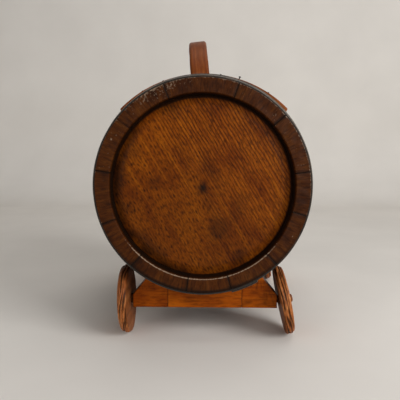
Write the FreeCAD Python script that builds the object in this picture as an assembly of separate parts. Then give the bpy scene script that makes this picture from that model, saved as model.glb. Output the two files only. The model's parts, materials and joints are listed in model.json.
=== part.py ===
import FreeCAD, Part
import math
import os
from FreeCAD import Rotation, Vector

# A small oak liquor cask lying on a cradle with four wooden wheels, in millimetres.
# Twelve bulged staves of uneven width are held by six riveted iron hoops round two heads.
# A bow handle stands on two nailed battens over the bung, and a turned wooden tap with a
# cork-lined key is driven into the far head.
#
# Frame: +Z up with the floor at z = 0, the cask lies along Y with its plain head towards -Y
# and its tap towards +Y, and x = 0 and y = 0 are the middle of the whole.
# The shapes are built about the middle of the cask, with the cask's axis as the Y axis,
# and are moved onto the floor when they are written out.

# Cask. A depth is measured along the axis, inwards from the end of the staves.
CASK_LENGTH = 280.0
CHIME_RADIUS = 98.5         # outside of the staves at each end
BILGE_RADIUS = 112.0        # outside of the staves at the middle
STAVE_THICKNESS = 14.0
STAVE_WIDTHS = (40.1, 29.5, 32.5, 23.7, 30.8, 28.2, 24.5, 33.2, 27.8, 29.3, 30.0, 30.4)
FIRST_JOINT = -20.6         # degrees from the top to the first joint, towards +X
CHIME_THICKNESS = 14.1
CHIME_BEVEL_DEPTH = 9.0
CHIME_BEVEL_RISE = 2.8
CROZE_DEPTH = 12.0
CROZE_WIDTH = 4.3
CROZE_CUT = 3.6
HOWEL_LENGTH = 18.0

# Heads
HEAD_RECESS = 10.5
HEAD_THICKNESS = 13.0
HEAD_BEVEL_WIDTH = 6.5
HEAD_BACK_BEVEL = 12.0
TONGUE_TAPER = 0.8
HEAD_FIT = 0.05

# Hoops
HOOP_THICKNESS = 1.5
HEAD_HOOP_SETBACK = 1.2
HEAD_HOOP_WIDTH = 16.0
INNER_HOOP_WIDTH = 12.0     # quarter and bilge hoops
HOOP_SPACING = 2.0          # left between a hoop and what lies beside it
LAP_LENGTH = 26.0
HEAD_LAP_ANGLE = 157.0
QUARTER_LAP_ANGLE = 206.0
BILGE_LAP_ANGLE = 148.0
RIVET_HEAD = 4.4            # across the flats of the hammered head
RIVET_HEIGHT = 1.0
RIVET_SIDES = 8

# Battens that carry the handle
BATTEN_WIDTH = 22.0
BATTEN_CROWN = 1.6          # thickness over the top of the cask
BATTEN_END = 5.0            # thickness at its two ends
BATTEN_HALF_SPAN = 84.6
BATTEN_END_SLOPE = 18.0
NAIL_ANGLES = (-34.0, -22.0, 9.0, 19.0, 36.0)
PROUD_NAIL = 19.0
NAIL_PROUD = 2.0
NAIL_HEAD = 3.2             # across the flats of the forged head
NAIL_HEIGHT = 1.0
NAIL_SIDES = 4
NAIL_SHANK = 1.4

# Handle
HANDLE_WIDTH = 19.0
HANDLE_THICKNESS = 15.0
HANDLE_GAP = 27.0           # finger room over the middle of the cask
HANDLE_FOOT = 18.0
HANDLE_TOE = 20.0
HANDLE_TOE_THICKNESS = 7.0
HANDLE_TOE_ROUNDING = 5.0
HANDLE_SETBACK = 0.5
HANDLE_OFFSET = -3.5
HANDLE_LEAN = 6.0
HANDLE_ROUNDING = 3.0
TOE_NAIL_SETBACK = 6.0

# Bung
BUNG_RADIUS = 12.0
BUNG_TAPER = 1.6            # how much smaller its inner end is
BUNG_STAND = 6.0
BUNG_CHAMFER = 1.2
BUNG_FIT = 0.05

# Tap, measured from the face of the far head
TAP_DROP = 50.0
TAP_SHANK_RADIUS = 10.0
TAP_SHANK_TAPER = 1.8
TAP_SHANK_REACH = 5.0
TAP_COLLAR_RADIUS = 15.0
TAP_COLLAR_LENGTH = 5.0
TAP_COVE_LENGTH = 8.0
TAP_COVE_RADIUS = 9.0
TAP_COVE_FLARE = 1.5
TAP_BARREL_RADIUS = 14.0
TAP_BARREL_LENGTH = 26.0
TAP_NECK_LENGTH = 5.0
TAP_NOSE_RADIUS = 10.0
TAP_NOSE_LENGTH = 19.0
TAP_NOSE_ROUNDING = 5.0
TAP_BORE_RADIUS = 3.0
KEY_RADIUS = 7.3
KEY_TAPER = 0.5
KEY_FIT = 0.05
KEY_FOOT = 4.0
KEY_COLLAR_RADIUS = 9.5
KEY_COLLAR_HEIGHT = 3.5
KEY_COLLAR_GAP = 0.3
KEY_STEM_RADIUS = 5.0
KEY_STEM_HEIGHT = 10.0
KEY_BAR_LENGTH = 34.0
KEY_BAR_RADIUS = 5.2
KEY_BAR_END_RADIUS = 3.6
CORK_THICKNESS = 1.6
CORK_FIT = 0.05             # round the sleeve in its hole
SPOUT_RADIUS = 7.6
SPOUT_WAIST = 6.0
SPOUT_TENON_RADIUS = 5.5
SPOUT_LET_IN = 1.5          # depth of the flat that is cut under the nose for its shoulder
SPOUT_REACH = 30.0
SPOUT_LIP = 3.0
SPOUT_BORE_RADIUS = 3.5

# Wheels and their axle pegs
WHEEL_RADIUS = 34.0
WHEEL_RIM_THICKNESS = 9.0
WHEEL_HUB_THICKNESS = 11.0
WHEEL_BOSS_RADIUS = 6.0
WHEEL_INNER_CHAMFER = 1.5
WHEEL_OUTER_CHAMFER = 3.0
WHEEL_DOME = 0.7            # share of the dome's rise reached half way in from the tread
WHEEL_SPREAD = 78.9         # from the middle of the stand to the middle of a hub
LEFT_LEAN = 1.9
RIGHT_LEAN = 11.1
AXLE_RADIUS = 2.2
AXLE_FIT = 0.05
AXLE_GRIP = 10.0
AXLE_COLLAR_RADIUS = 5.0
AXLE_COLLAR_LENGTH = 1.4
AXLE_HEAD_RADIUS = 4.0
AXLE_HEAD_HEIGHT = 2.2
AXLE_END_PLAY = 0.3

# Cradle
CRADLE_OFFSET = 2.0         # the cradle stands this far to +X of the cask
RAIL_DEPTH = 26.0
RAIL_THICKNESS = 18.0
RAIL_WEB = 17.2             # height of wood below the lowest point of the cask's seat
RAIL_END_HEIGHT = 12.4
RAIL_BEVEL = 51.0
RAIL_CENTRE_HALF = 36.3
RAIL_AXLE_HEIGHT = 6.5
SEAT_GAP = 0.3
RUNNER_WIDTH = 16.0
RUNNER_HEIGHT = 13.0
RUNNER_SPREAD = 54.0
RUNNER_GAP = 1.2            # left between a runner and the bilge hoop's lap

# Worked out from the sizes above
HALF = CASK_LENGTH / 2
BULGE = BILGE_RADIUS - CHIME_RADIUS
BEND_RADIUS = (HALF ** 2 + BULGE ** 2) / (2 * BULGE)
MOUTH_RADIUS = CHIME_RADIUS - CHIME_THICKNESS
THROAT_RADIUS = MOUTH_RADIUS - CHIME_BEVEL_RISE
CROZE_RADIUS = THROAT_RADIUS + CROZE_CUT
CROZE_END = CROZE_DEPTH + CROZE_WIDTH
HOWEL_END = CROZE_END + HOWEL_LENGTH
QUARTER_HOOP_DEPTH = RAIL_DEPTH + RAIL_THICKNESS + HOOP_SPACING
BATTEN_DEPTH = QUARTER_HOOP_DEPTH + INNER_HOOP_WIDTH + HOOP_SPACING
TOE_END_DEPTH = BATTEN_DEPTH + HANDLE_SETBACK + HANDLE_FOOT + HANDLE_TOE
BILGE_HOOP_DEPTH = max(BATTEN_DEPTH + BATTEN_WIDTH, TOE_END_DEPTH) + HOOP_SPACING
HEAD_FACE = HALF - HEAD_RECESS
KEY_PLACE = TAP_COLLAR_LENGTH + TAP_COVE_LENGTH + TAP_BARREL_LENGTH / 2
NOSE_START = TAP_COLLAR_LENGTH + TAP_COVE_LENGTH + TAP_BARREL_LENGTH + TAP_NECK_LENGTH
TAP_LENGTH = NOSE_START + TAP_NOSE_LENGTH
SPOUT_PLACE = NOSE_START + SPOUT_RADIUS
TAP_OVERHANG = TAP_LENGTH - HEAD_RECESS
RAIL_END_GAP = AXLE_END_PLAY + RAIL_END_HEIGHT * math.tan(math.radians(max(LEFT_LEAN, RIGHT_LEAN)))
RAIL_HALF_LENGTH = WHEEL_SPREAD - WHEEL_HUB_THICKNESS / 2 - RAIL_END_GAP
ALONG = Vector(0, 1, 0)
UP = Vector(0, 0, 1)
CENTRE = Vector(0, 0, 0)


def outer_radius(depth):
    """Radius of the outside of the staves at a depth from the end."""
    along = HALF - depth
    return BILGE_RADIUS - BEND_RADIUS + math.sqrt(BEND_RADIUS ** 2 - along ** 2)


def on_bulge(side, depth, offset):
    """Point of the bulge line over x = 0, moved outwards; side is -1 near and 1 at the tap."""
    along = HALF - depth
    bend_centre = BILGE_RADIUS - BEND_RADIUS
    reach = (BEND_RADIUS + offset) / BEND_RADIUS
    return Vector(0, side * along * reach, bend_centre + (outer_radius(depth) - bend_centre) * reach)


def bulge_arc(start, end):
    """Arc of the cask's bulge between two points at the same offset from it."""
    bend_centre = Vector(0, 0, BILGE_RADIUS - BEND_RADIUS)
    middle = (start + end) * 0.5 - bend_centre
    middle.normalize()
    return Part.Arc(start, bend_centre + middle * (start - bend_centre).Length, end).toShape()


def line(start, end):
    """Straight edge."""
    return Part.LineSegment(start, end).toShape()


def arc(start, middle, end):
    """Arc through three points."""
    return Part.Arc(start, middle, end).toShape()


def path(points):
    """Straight edges through the points."""
    return [line(start, end) for start, end in zip(points, points[1:])]


def filled(edges):
    """Flat face inside a closed run of edges."""
    return Part.Face(Part.Wire(edges))


def turned(edges, centre, axis):
    """Solid of revolution of the closed profile."""
    return filled(edges).revolve(centre, axis, 360)


def rod(radius, start, end):
    """Cylinder from one point to another."""
    reach = end - start
    return Part.makeCylinder(radius, reach.Length, start, reach)


def strip_profile(side, depth, width, low, high):
    """Profile of a flat strip lying on the cask, touching the bulge at the middle of its width."""
    edges_apart = (on_bulge(side, depth, 0) - on_bulge(side, depth + width, 0)).Length
    half_turn = math.asin(edges_apart / 2 / BEND_RADIUS)
    ease = BEND_RADIUS / math.cos(half_turn) - BEND_RADIUS
    corners = [
        on_bulge(side, depth, low + ease),
        on_bulge(side, depth, high + ease),
        on_bulge(side, depth + width, high + ease),
        on_bulge(side, depth + width, low + ease),
    ]
    return path(corners + corners[:1])


def cask_envelope(gap):
    """The whole cask as one solid of its outer shape, larger by the gap."""
    near = on_bulge(-1, 0, gap)
    far = on_bulge(1, 0, gap)
    outline = path([far, Vector(0, far.y, 0), Vector(0, near.y, 0), near])
    return turned([bulge_arc(near, far)] + outline, CENTRE, ALONG)


def stave_profile():
    """Section of every stave: bulge, bevelled chime, croze groove, howel and hollowed inside."""
    inner = [
        (0, MOUTH_RADIUS),
        (CHIME_BEVEL_DEPTH, THROAT_RADIUS),
        (CROZE_DEPTH, THROAT_RADIUS),
        (CROZE_DEPTH, CROZE_RADIUS),
        (CROZE_END, CROZE_RADIUS),
        (CROZE_END, THROAT_RADIUS),
        (HOWEL_END, outer_radius(HOWEL_END) - STAVE_THICKNESS),
    ]
    middle = Vector(0, 0, BILGE_RADIUS - STAVE_THICKNESS)
    ends = [on_bulge(side, 0, 0) for side in (-1, 1)]
    near = [Vector(0, depth - HALF, radius) for depth, radius in inner]
    far = [Vector(0, HALF - depth, radius) for depth, radius in inner]
    outline = [ends[0]] + near + [middle] + far[::-1] + [ends[1]]
    return filled(path(outline) + [bulge_arc(ends[1], ends[0])])


def staves():
    """The twelve staves, going round from the top one towards +X."""
    profile = stave_profile()
    share = 360 / sum(STAVE_WIDTHS)
    angle = FIRST_JOINT
    solids = []
    for width in STAVE_WIDTHS:
        face = profile.copy()
        face.rotate(CENTRE, ALONG, angle)
        solids.append(face.revolve(CENTRE, ALONG, width * share))
        angle += width * share
    return solids


def head(side):
    """Round head with a bevelled edge whose tapered tongue stands in the croze."""
    tongue_radius = CROZE_RADIUS - HEAD_FIT
    shoulder = THROAT_RADIUS - HEAD_FIT
    back = HEAD_RECESS + HEAD_THICKNESS
    section = [
        (HEAD_RECESS, 0),
        (HEAD_RECESS, shoulder - HEAD_BEVEL_WIDTH),
        (CROZE_DEPTH + HEAD_FIT + TONGUE_TAPER, tongue_radius),
        (CROZE_END - HEAD_FIT, tongue_radius),
        (CROZE_END - HEAD_FIT, shoulder),
        (back, shoulder - HEAD_BACK_BEVEL),
        (back, 0),
        (HEAD_RECESS, 0),
    ]
    points = [Vector(0, side * (HALF - depth), radius) for depth, radius in section]
    return turned(path(points), CENTRE, ALONG)


def forged_head(across, height, sides):
    """Hammered head of a nail or rivet: flat facets rising to a point from the plane z = 0."""
    turns = [2 * math.pi * (number + 0.5) / sides for number in range(sides)]
    reach = across / 2 / math.cos(math.pi / sides)
    corners = [Vector(reach * math.cos(turn), reach * math.sin(turn), 0) for turn in turns]
    tip = Vector(0, 0, height)
    facets = [filled(path([start, end, tip, start]))
              for start, end in zip(corners, corners[1:] + corners[:1])]
    return Part.makeSolid(Part.makeShell(facets + [filled(path(corners + corners[:1]))]))


def set_on(shape, point, normal):
    """Stands a shape that was made on z = 0 on a point, along the normal there."""
    moved = shape.copy()
    moved.Placement = FreeCAD.Placement(point, Rotation(UP, normal))
    return moved


def bulge_normal(side, depth, angle):
    """Outward direction at a place on the bulge, the angle counted from the top to +X."""
    tilt = math.asin((HALF - depth) / BEND_RADIUS)
    turn = math.radians(angle)
    return Vector(math.cos(tilt) * math.sin(turn), side * math.sin(tilt), math.cos(tilt) * math.cos(turn))


def hoop(side, depth, width, lap_angle):
    """Flat iron hoop with its riveted lap, and the two rivet heads."""
    band = turned(strip_profile(side, depth, width, 0, HOOP_THICKNESS), CENTRE, ALONG)
    lap_radius = outer_radius(depth + width / 2) + HOOP_THICKNESS
    lap_turn = math.degrees(LAP_LENGTH / lap_radius)
    lap_face = filled(strip_profile(side, depth, width, HOOP_THICKNESS, 2 * HOOP_THICKNESS))
    lap_face.rotate(CENTRE, ALONG, lap_angle - lap_turn / 2)
    lap = lap_face.revolve(CENTRE, ALONG, lap_turn)
    rivets = []
    for place in (-0.25, 0.25):
        angle = lap_angle + place * lap_turn
        point = on_bulge(side, depth + width / 2, 2 * HOOP_THICKNESS)
        point = Rotation(ALONG, angle).multVec(point)
        normal = bulge_normal(side, depth + width / 2, angle)
        rivets.append(set_on(forged_head(RIVET_HEAD, RIVET_HEIGHT, RIVET_SIDES), point, normal))
    return band.fuse(lap), rivets


def batten_bend():
    """Radius of a batten's top surface over its front edge, and how far its axis lies down."""
    crown = outer_radius(BATTEN_DEPTH) + BATTEN_CROWN
    end_radius = outer_radius(BATTEN_DEPTH) + BATTEN_END
    end_height = math.sqrt(end_radius ** 2 - BATTEN_HALF_SPAN ** 2)
    rise = crown - end_height
    bend = (BATTEN_HALF_SPAN ** 2 + rise ** 2) / (2 * rise)
    return end_height, bend - crown


def batten(side, envelope):
    """Curved strip over the cask, bent flatter than the cask so that its ends are thicker."""
    end_height, drop = batten_bend()
    bend_axis = Vector(0, 0, -drop)
    blank = filled(strip_profile(side, BATTEN_DEPTH, BATTEN_WIDTH, -3 * BATTEN_END, BATTEN_CROWN))
    blank.rotate(bend_axis, ALONG, -90)
    strip = blank.revolve(bend_axis, ALONG, 180)
    low = 0.0
    high = BILGE_RADIUS + BATTEN_END
    slope = math.tan(math.radians(BATTEN_END_SLOPE))
    low_half = BATTEN_HALF_SPAN + (low - end_height) * slope
    high_half = BATTEN_HALF_SPAN + (high - end_height) * slope
    outline = [
        Vector(-low_half, -HALF, low),
        Vector(low_half, -HALF, low),
        Vector(high_half, -HALF, high),
        Vector(-high_half, -HALF, high),
        Vector(-low_half, -HALF, low),
    ]
    between_ends = filled(path(outline)).extrude(ALONG * CASK_LENGTH)
    return strip.common(between_ends).cut(envelope)


def batten_nails(side):
    """Nail heads along the middle of a batten; one near the handle has worked loose."""
    depth = BATTEN_DEPTH + BATTEN_WIDTH / 2
    drop = batten_bend()[1]
    crown = on_bulge(side, depth, BATTEN_CROWN)
    bend = crown.z + drop
    nails = []
    for angle in NAIL_ANGLES:
        turn = math.radians(angle)
        reach = math.sqrt(bend ** 2 - (drop * math.sin(turn)) ** 2) - drop * math.cos(turn)
        point = Vector(reach * math.sin(turn), crown.y, reach * math.cos(turn))
        bend_angle = math.degrees(math.atan2(point.x, point.z + drop))
        normal = bulge_normal(side, depth, bend_angle)
        nail = forged_head(NAIL_HEAD, NAIL_HEIGHT, NAIL_SIDES)
        if side < 0 and angle == PROUD_NAIL:
            shank_corner = Vector(-NAIL_SHANK / 2, -NAIL_SHANK / 2, 0)
            nail.translate(UP * NAIL_PROUD)
            nail = nail.fuse(Part.makeBox(NAIL_SHANK, NAIL_SHANK, NAIL_PROUD, shank_corner))
        nails.append(set_on(nail, point, normal))
    return nails


def handle_frame(shape):
    """Moves a shape made upright over x = 0 to the handle's offset and lean."""
    shape.translate(Vector(HANDLE_OFFSET, 0, 0))
    shape.rotate(Vector(HANDLE_OFFSET, 0, outer_radius(BATTEN_DEPTH)), ALONG, -HANDLE_LEAN)
    return shape


def handle(battens, envelope):
    """Bow handle with a foot and an inner toe at each end, scribed to what it stands on."""
    half_span = HALF - BATTEN_DEPTH - HANDLE_SETBACK
    inner_half = half_span - HANDLE_FOOT
    base = outer_radius(BATTEN_DEPTH) - BATTEN_END
    toe_height = BATTEN_END + HANDLE_TOE_THICKNESS
    top = BILGE_RADIUS + HANDLE_GAP + HANDLE_THICKNESS
    left = -HANDLE_WIDTH / 2
    across = Vector(HANDLE_WIDTH, 0, 0)
    outer_ends = [Vector(left, -half_span, base), Vector(left, half_span, base)]
    inner_ends = [Vector(left, -inner_half, base), Vector(left, inner_half, base)]
    outer_bow = arc(outer_ends[0], Vector(left, 0, top), outer_ends[1])
    inner_bow = arc(inner_ends[1], Vector(left, 0, top - HANDLE_THICKNESS), inner_ends[0])
    soles = [line(outer_ends[1], inner_ends[1]), line(inner_ends[0], outer_ends[0])]
    board = filled([outer_bow, soles[0], inner_bow, soles[1]]).extrude(across)
    bows = [edge for edge in board.Edges if edge.Curve.TypeId == "Part::GeomCircle"]
    board = board.makeFillet(HANDLE_ROUNDING, bows)
    for side in (-1, 1):
        toe_reach = HANDLE_FOOT / 2 + HANDLE_TOE
        tip = side * (inner_half - HANDLE_TOE)
        start = min(tip, tip + side * toe_reach)
        toe = Part.makeBox(HANDLE_WIDTH, toe_reach, toe_height, Vector(left, start, base))
        corners = [edge for edge in toe.Edges if abs(edge.CenterOfMass.y - tip) < 1e-6
                   and abs(edge.CenterOfMass.z - base - toe_height / 2) < 1e-6]
        board = board.fuse(toe.makeFillet(HANDLE_TOE_ROUNDING, corners))
    return handle_frame(board.removeSplitter()).cut(envelope).cut(battens)


def handle_nails():
    """One nail head on each toe of the handle."""
    half_span = HALF - BATTEN_DEPTH - HANDLE_SETBACK
    place = half_span - HANDLE_FOOT - HANDLE_TOE + TOE_NAIL_SETBACK
    toe_top = outer_radius(BATTEN_DEPTH) + HANDLE_TOE_THICKNESS
    nails = []
    for side in (-1, 1):
        nail = forged_head(NAIL_HEAD, NAIL_HEIGHT, NAIL_SIDES)
        nail.translate(Vector(0, side * place, toe_top))
        nails.append(handle_frame(nail))
    return nails


def bung_cone(gap):
    """Tapered plug through the top stave, its radius larger by the gap."""
    bottom = BILGE_RADIUS - STAVE_THICKNESS
    height = STAVE_THICKNESS + BUNG_STAND
    return Part.makeCone(BUNG_RADIUS - BUNG_TAPER + gap, BUNG_RADIUS + gap, height, Vector(0, 0, bottom), UP)


def bung():
    """Wooden bung with a chamfered top."""
    plug = bung_cone(0)
    rims = [edge for edge in plug.Edges if edge.BoundBox.ZMin > BILGE_RADIUS]
    return plug.makeChamfer(BUNG_CHAMFER, rims)


def tap_point(reach, radius):
    """Point of the tap's section: how far out from the head, and how far from the tap's axis."""
    return Vector(0, HEAD_FACE + reach, radius - TAP_DROP)


def tap_axis(reach):
    """Point on the tap's own axis."""
    return tap_point(reach, 0)


def tap_shank(gap):
    """Tapered shank that is driven through the head."""
    reach = HEAD_THICKNESS + TAP_SHANK_REACH
    small = TAP_SHANK_RADIUS - TAP_SHANK_TAPER + gap
    return Part.makeCone(small, TAP_SHANK_RADIUS + gap, reach, tap_axis(-reach), ALONG)


def tap_blank():
    """Turned body of the tap before it is bored: collar, cove, barrel, neck and nose."""
    cove_start = TAP_COLLAR_LENGTH
    barrel_start = cove_start + TAP_COVE_LENGTH
    cove_edge = TAP_COVE_RADIUS + TAP_COVE_FLARE
    round_start = TAP_LENGTH - TAP_NOSE_ROUNDING
    flat_end = TAP_NOSE_RADIUS - TAP_NOSE_ROUNDING
    diagonal = TAP_NOSE_ROUNDING * math.sqrt(0.5)
    collar = [(0, 0), (0, TAP_COLLAR_RADIUS), (cove_start, TAP_COLLAR_RADIUS), (cove_start, cove_edge)]
    cove_middle = cove_start + TAP_COVE_LENGTH / 2
    cove = [(cove_start, cove_edge), (cove_middle, TAP_COVE_RADIUS), (barrel_start, cove_edge)]
    barrel = [
        (barrel_start, cove_edge),
        (barrel_start, TAP_BARREL_RADIUS),
        (barrel_start + TAP_BARREL_LENGTH, TAP_BARREL_RADIUS),
        (NOSE_START, TAP_NOSE_RADIUS),
        (round_start, TAP_NOSE_RADIUS),
    ]
    round_middle = (round_start + diagonal, flat_end + diagonal)
    nose = [(round_start, TAP_NOSE_RADIUS), round_middle, (TAP_LENGTH, flat_end)]
    end = [(TAP_LENGTH, flat_end), (TAP_LENGTH, 0), (0, 0)]
    runs = [[tap_point(reach, radius) for reach, radius in run] for run in (collar, cove, barrel, nose, end)]
    edges = path(runs[0]) + [arc(*runs[1])] + path(runs[2]) + [arc(*runs[3])] + path(runs[4])
    return turned(edges, tap_axis(0), ALONG)


def key_cone(extra, half):
    """Length of the key's taper to both sides of the tap's axis, wider by the extra."""
    taper = KEY_TAPER * half / TAP_BARREL_RADIUS
    low = tap_axis(KEY_PLACE) - UP * half
    return Part.makeCone(KEY_RADIUS - taper + extra, KEY_RADIUS + taper + extra, 2 * half, low, UP)


def liquor_bore():
    """Bore along the tap from the inside of the cask to the spout."""
    return rod(TAP_BORE_RADIUS, tap_axis(-2 * HEAD_THICKNESS - TAP_SHANK_REACH), tap_axis(SPOUT_PLACE))


def spout_seat():
    """The flat that is cut under the nose for the spout, and the hole for its tenon."""
    shoulder = tap_axis(SPOUT_PLACE) - UP * (TAP_NOSE_RADIUS - SPOUT_LET_IN)
    flat = rod(SPOUT_RADIUS, shoulder, shoulder - UP * TAP_NOSE_RADIUS)
    return shoulder, flat.fuse(rod(SPOUT_TENON_RADIUS, shoulder, tap_axis(SPOUT_PLACE)))


def tap_body():
    """Shank and turned body, bored for the liquor, the cork sleeve and the spout."""
    body = tap_blank().fuse(tap_shank(0)).removeSplitter()
    cork_hole = key_cone(KEY_FIT + CORK_THICKNESS + CORK_FIT, TAP_BARREL_RADIUS)
    return body.cut([cork_hole, spout_seat()[1], liquor_bore()])


def tap_cork():
    """Cork sleeve round the key, as high as its hole in the barrel is walled all round."""
    outer = KEY_FIT + CORK_THICKNESS
    half = math.sqrt(TAP_BARREL_RADIUS ** 2 - (KEY_RADIUS + KEY_TAPER + outer) ** 2)
    return key_cone(outer, half).cut([key_cone(KEY_FIT, half), liquor_bore()])


def tap_spout():
    """Turned spout with a tenon up into the nose, bored through."""
    shoulder = spout_seat()[0]
    reach = SPOUT_REACH - TAP_NOSE_RADIUS + SPOUT_LET_IN
    section = [
        (0, 0),
        (0, SPOUT_RADIUS),
        (SPOUT_LET_IN + SPOUT_LIP, SPOUT_RADIUS),
        (SPOUT_LET_IN + 2 * SPOUT_LIP, SPOUT_WAIST),
        (reach - 2 * SPOUT_LIP, SPOUT_WAIST),
        (reach - SPOUT_LIP, SPOUT_RADIUS),
        (reach, SPOUT_RADIUS),
        (reach, 0),
        (0, 0),
    ]
    shell = turned(path([shoulder + Vector(radius, 0, -down) for down, radius in section]), shoulder, UP)
    spout = shell.fuse(rod(SPOUT_TENON_RADIUS, shoulder, tap_axis(SPOUT_PLACE))).removeSplitter()
    bore = rod(SPOUT_BORE_RADIUS, tap_axis(SPOUT_PLACE) - UP * SPOUT_REACH, tap_axis(SPOUT_PLACE))
    return spout.cut([bore, liquor_bore()])


def tap_key():
    """Tapered key with its cross bore, a collar, a stem and a turned thumb bar."""
    half = TAP_BARREL_RADIUS + KEY_COLLAR_GAP
    collar_top = half + KEY_COLLAR_HEIGHT
    bar_height = collar_top + KEY_STEM_HEIGHT
    centre = tap_axis(KEY_PLACE)
    low_radius = KEY_RADIUS - KEY_TAPER
    section = [
        (-half - KEY_FOOT, 0),
        (-half - KEY_FOOT, low_radius - KEY_TAPER),
        (-half, low_radius),
        (half, KEY_RADIUS + KEY_TAPER),
        (half, KEY_COLLAR_RADIUS),
        (collar_top, KEY_COLLAR_RADIUS),
        (collar_top, KEY_STEM_RADIUS),
        (bar_height, KEY_STEM_RADIUS),
        (bar_height, 0),
        (-half - KEY_FOOT, 0),
    ]
    plug = turned(path([centre + Vector(radius, 0, height) for height, radius in section]), centre, UP)
    bar_centre = centre + UP * bar_height
    end = KEY_BAR_LENGTH / 2
    bar_section = [
        (end, 0),
        (-end, 0),
        (-end, KEY_BAR_END_RADIUS),
        (0, KEY_BAR_RADIUS),
        (end, KEY_BAR_END_RADIUS),
        (end, 0),
    ]
    bar = turned(path([bar_centre + Vector(x, 0, z) for x, z in bar_section]), bar_centre, Vector(1, 0, 0))
    reach = Vector(KEY_COLLAR_RADIUS, 0, 0)
    return plug.fuse(bar).cut(rod(TAP_BORE_RADIUS, centre - reach, centre + reach))


def hub_height(lean, edge, chamfer):
    """Height of a leaning wheel's hub; the edge of its tread on the low side stands on the floor."""
    turn = math.radians(lean)
    tread = WHEEL_RADIUS * math.cos(turn) + (edge - chamfer) * math.sin(turn)
    face = (WHEEL_RADIUS - chamfer) * math.cos(turn) + edge * math.sin(turn)
    return max(tread, face)


LEFT_HUB_HEIGHT = hub_height(LEFT_LEAN, WHEEL_RIM_THICKNESS - WHEEL_HUB_THICKNESS / 2, WHEEL_OUTER_CHAMFER)
RIGHT_HUB_HEIGHT = hub_height(RIGHT_LEAN, WHEEL_HUB_THICKNESS / 2, WHEEL_INNER_CHAMFER)
RAIL_FLOOR_GAP = min(LEFT_HUB_HEIGHT, RIGHT_HUB_HEIGHT) - RAIL_AXLE_HEIGHT
SEAT_RADIUS = outer_radius(RAIL_DEPTH) + SEAT_GAP
AXIS_HEIGHT = RAIL_FLOOR_GAP + RAIL_WEB + SEAT_RADIUS
FLOOR = -AXIS_HEIGHT
RAIL_BOTTOM = FLOOR + RAIL_FLOOR_GAP
LAP_SWEEP = BILGE_RADIUS + 2 * HOOP_THICKNESS + RUNNER_GAP
RUNNER_INNER_EDGE = RUNNER_SPREAD - RUNNER_WIDTH / 2 - abs(CRADLE_OFFSET)
RUNNER_TOP = -math.sqrt(LAP_SWEEP ** 2 - RUNNER_INNER_EDGE ** 2)


def wheel_frame(shape, side, end):
    """Moves a shape made about the X axis, its hub centred on the origin, to one wheel."""
    lean = RIGHT_LEAN if side > 0 else LEFT_LEAN
    height = RIGHT_HUB_HEIGHT if side > 0 else LEFT_HUB_HEIGHT
    if side < 0:
        shape.rotate(CENTRE, UP, 180)
    shape.rotate(CENTRE, ALONG, -lean)
    place = end * (HALF - RAIL_DEPTH - RAIL_THICKNESS / 2)
    shape.translate(Vector(CRADLE_OFFSET + side * WHEEL_SPREAD, place, FLOOR + height))
    return shape


def wheel(side, end):
    """Solid wooden disc wheel: flat inside, domed outside to a small boss, chamfered tread."""
    inner = -WHEEL_HUB_THICKNESS / 2
    rim = inner + WHEEL_RIM_THICKNESS
    boss = WHEEL_HUB_THICKNESS / 2
    bore = AXLE_RADIUS + AXLE_FIT
    shoulder = WHEEL_RADIUS - WHEEL_OUTER_CHAMFER
    section = [
        (boss, bore),
        (inner, bore),
        (inner, WHEEL_RADIUS - WHEEL_INNER_CHAMFER),
        (inner + WHEEL_INNER_CHAMFER, WHEEL_RADIUS),
        (rim - WHEEL_OUTER_CHAMFER, WHEEL_RADIUS),
        (rim, shoulder),
        (rim + WHEEL_DOME * (boss - rim), (shoulder + WHEEL_BOSS_RADIUS) / 2),
        (boss, WHEEL_BOSS_RADIUS),
        (boss, bore),
    ]
    outline = path([Vector(out, 0, radius) for out, radius in section])
    return wheel_frame(turned(outline, CENTRE, Vector(1, 0, 0)), side, end)


def axle_peg(side, end):
    """Turned peg: a shank driven into the rail's end, a collar, the axle and a head outside."""
    inner = -WHEEL_HUB_THICKNESS / 2 - AXLE_END_PLAY
    outer = WHEEL_HUB_THICKNESS / 2 + AXLE_END_PLAY
    section = [
        (inner - RAIL_END_GAP - AXLE_GRIP, 0),
        (inner - RAIL_END_GAP - AXLE_GRIP, AXLE_RADIUS),
        (inner - AXLE_COLLAR_LENGTH, AXLE_RADIUS),
        (inner - AXLE_COLLAR_LENGTH, AXLE_COLLAR_RADIUS),
        (inner, AXLE_COLLAR_RADIUS),
        (inner, AXLE_RADIUS),
        (outer, AXLE_RADIUS),
        (outer, AXLE_HEAD_RADIUS),
        (outer + AXLE_HEAD_HEIGHT, AXLE_HEAD_RADIUS - AXLE_HEAD_HEIGHT / 2),
        (outer + AXLE_HEAD_HEIGHT, 0),
        (inner - RAIL_END_GAP - AXLE_GRIP, 0),
    ]
    outline = path([Vector(out, 0, radius) for out, radius in section])
    return wheel_frame(turned(outline, CENTRE, Vector(1, 0, 0)), side, end)


def rail_outline():
    """Outline of a cradle rail before the seat is hollowed: flat below, bevelled shoulders."""
    left = CRADLE_OFFSET - RAIL_HALF_LENGTH
    right = CRADLE_OFFSET + RAIL_HALF_LENGTH
    end_top = RAIL_BOTTOM + RAIL_END_HEIGHT
    peak = FLOOR + AXIS_HEIGHT - SEAT_RADIUS / 2
    run = (peak - end_top) / math.tan(math.radians(RAIL_BEVEL))
    return [
        (left, RAIL_BOTTOM),
        (right, RAIL_BOTTOM),
        (right, end_top),
        (right - run, peak),
        (left + run, peak),
        (left, end_top),
        (left, RAIL_BOTTOM),
    ]


def slab(low_x, high_x):
    """Everything between two planes across the cradle."""
    corner = Vector(low_x, -CASK_LENGTH, FLOOR)
    return Part.makeBox(high_x - low_x, 2 * CASK_LENGTH, AXIS_HEIGHT, corner)


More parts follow.
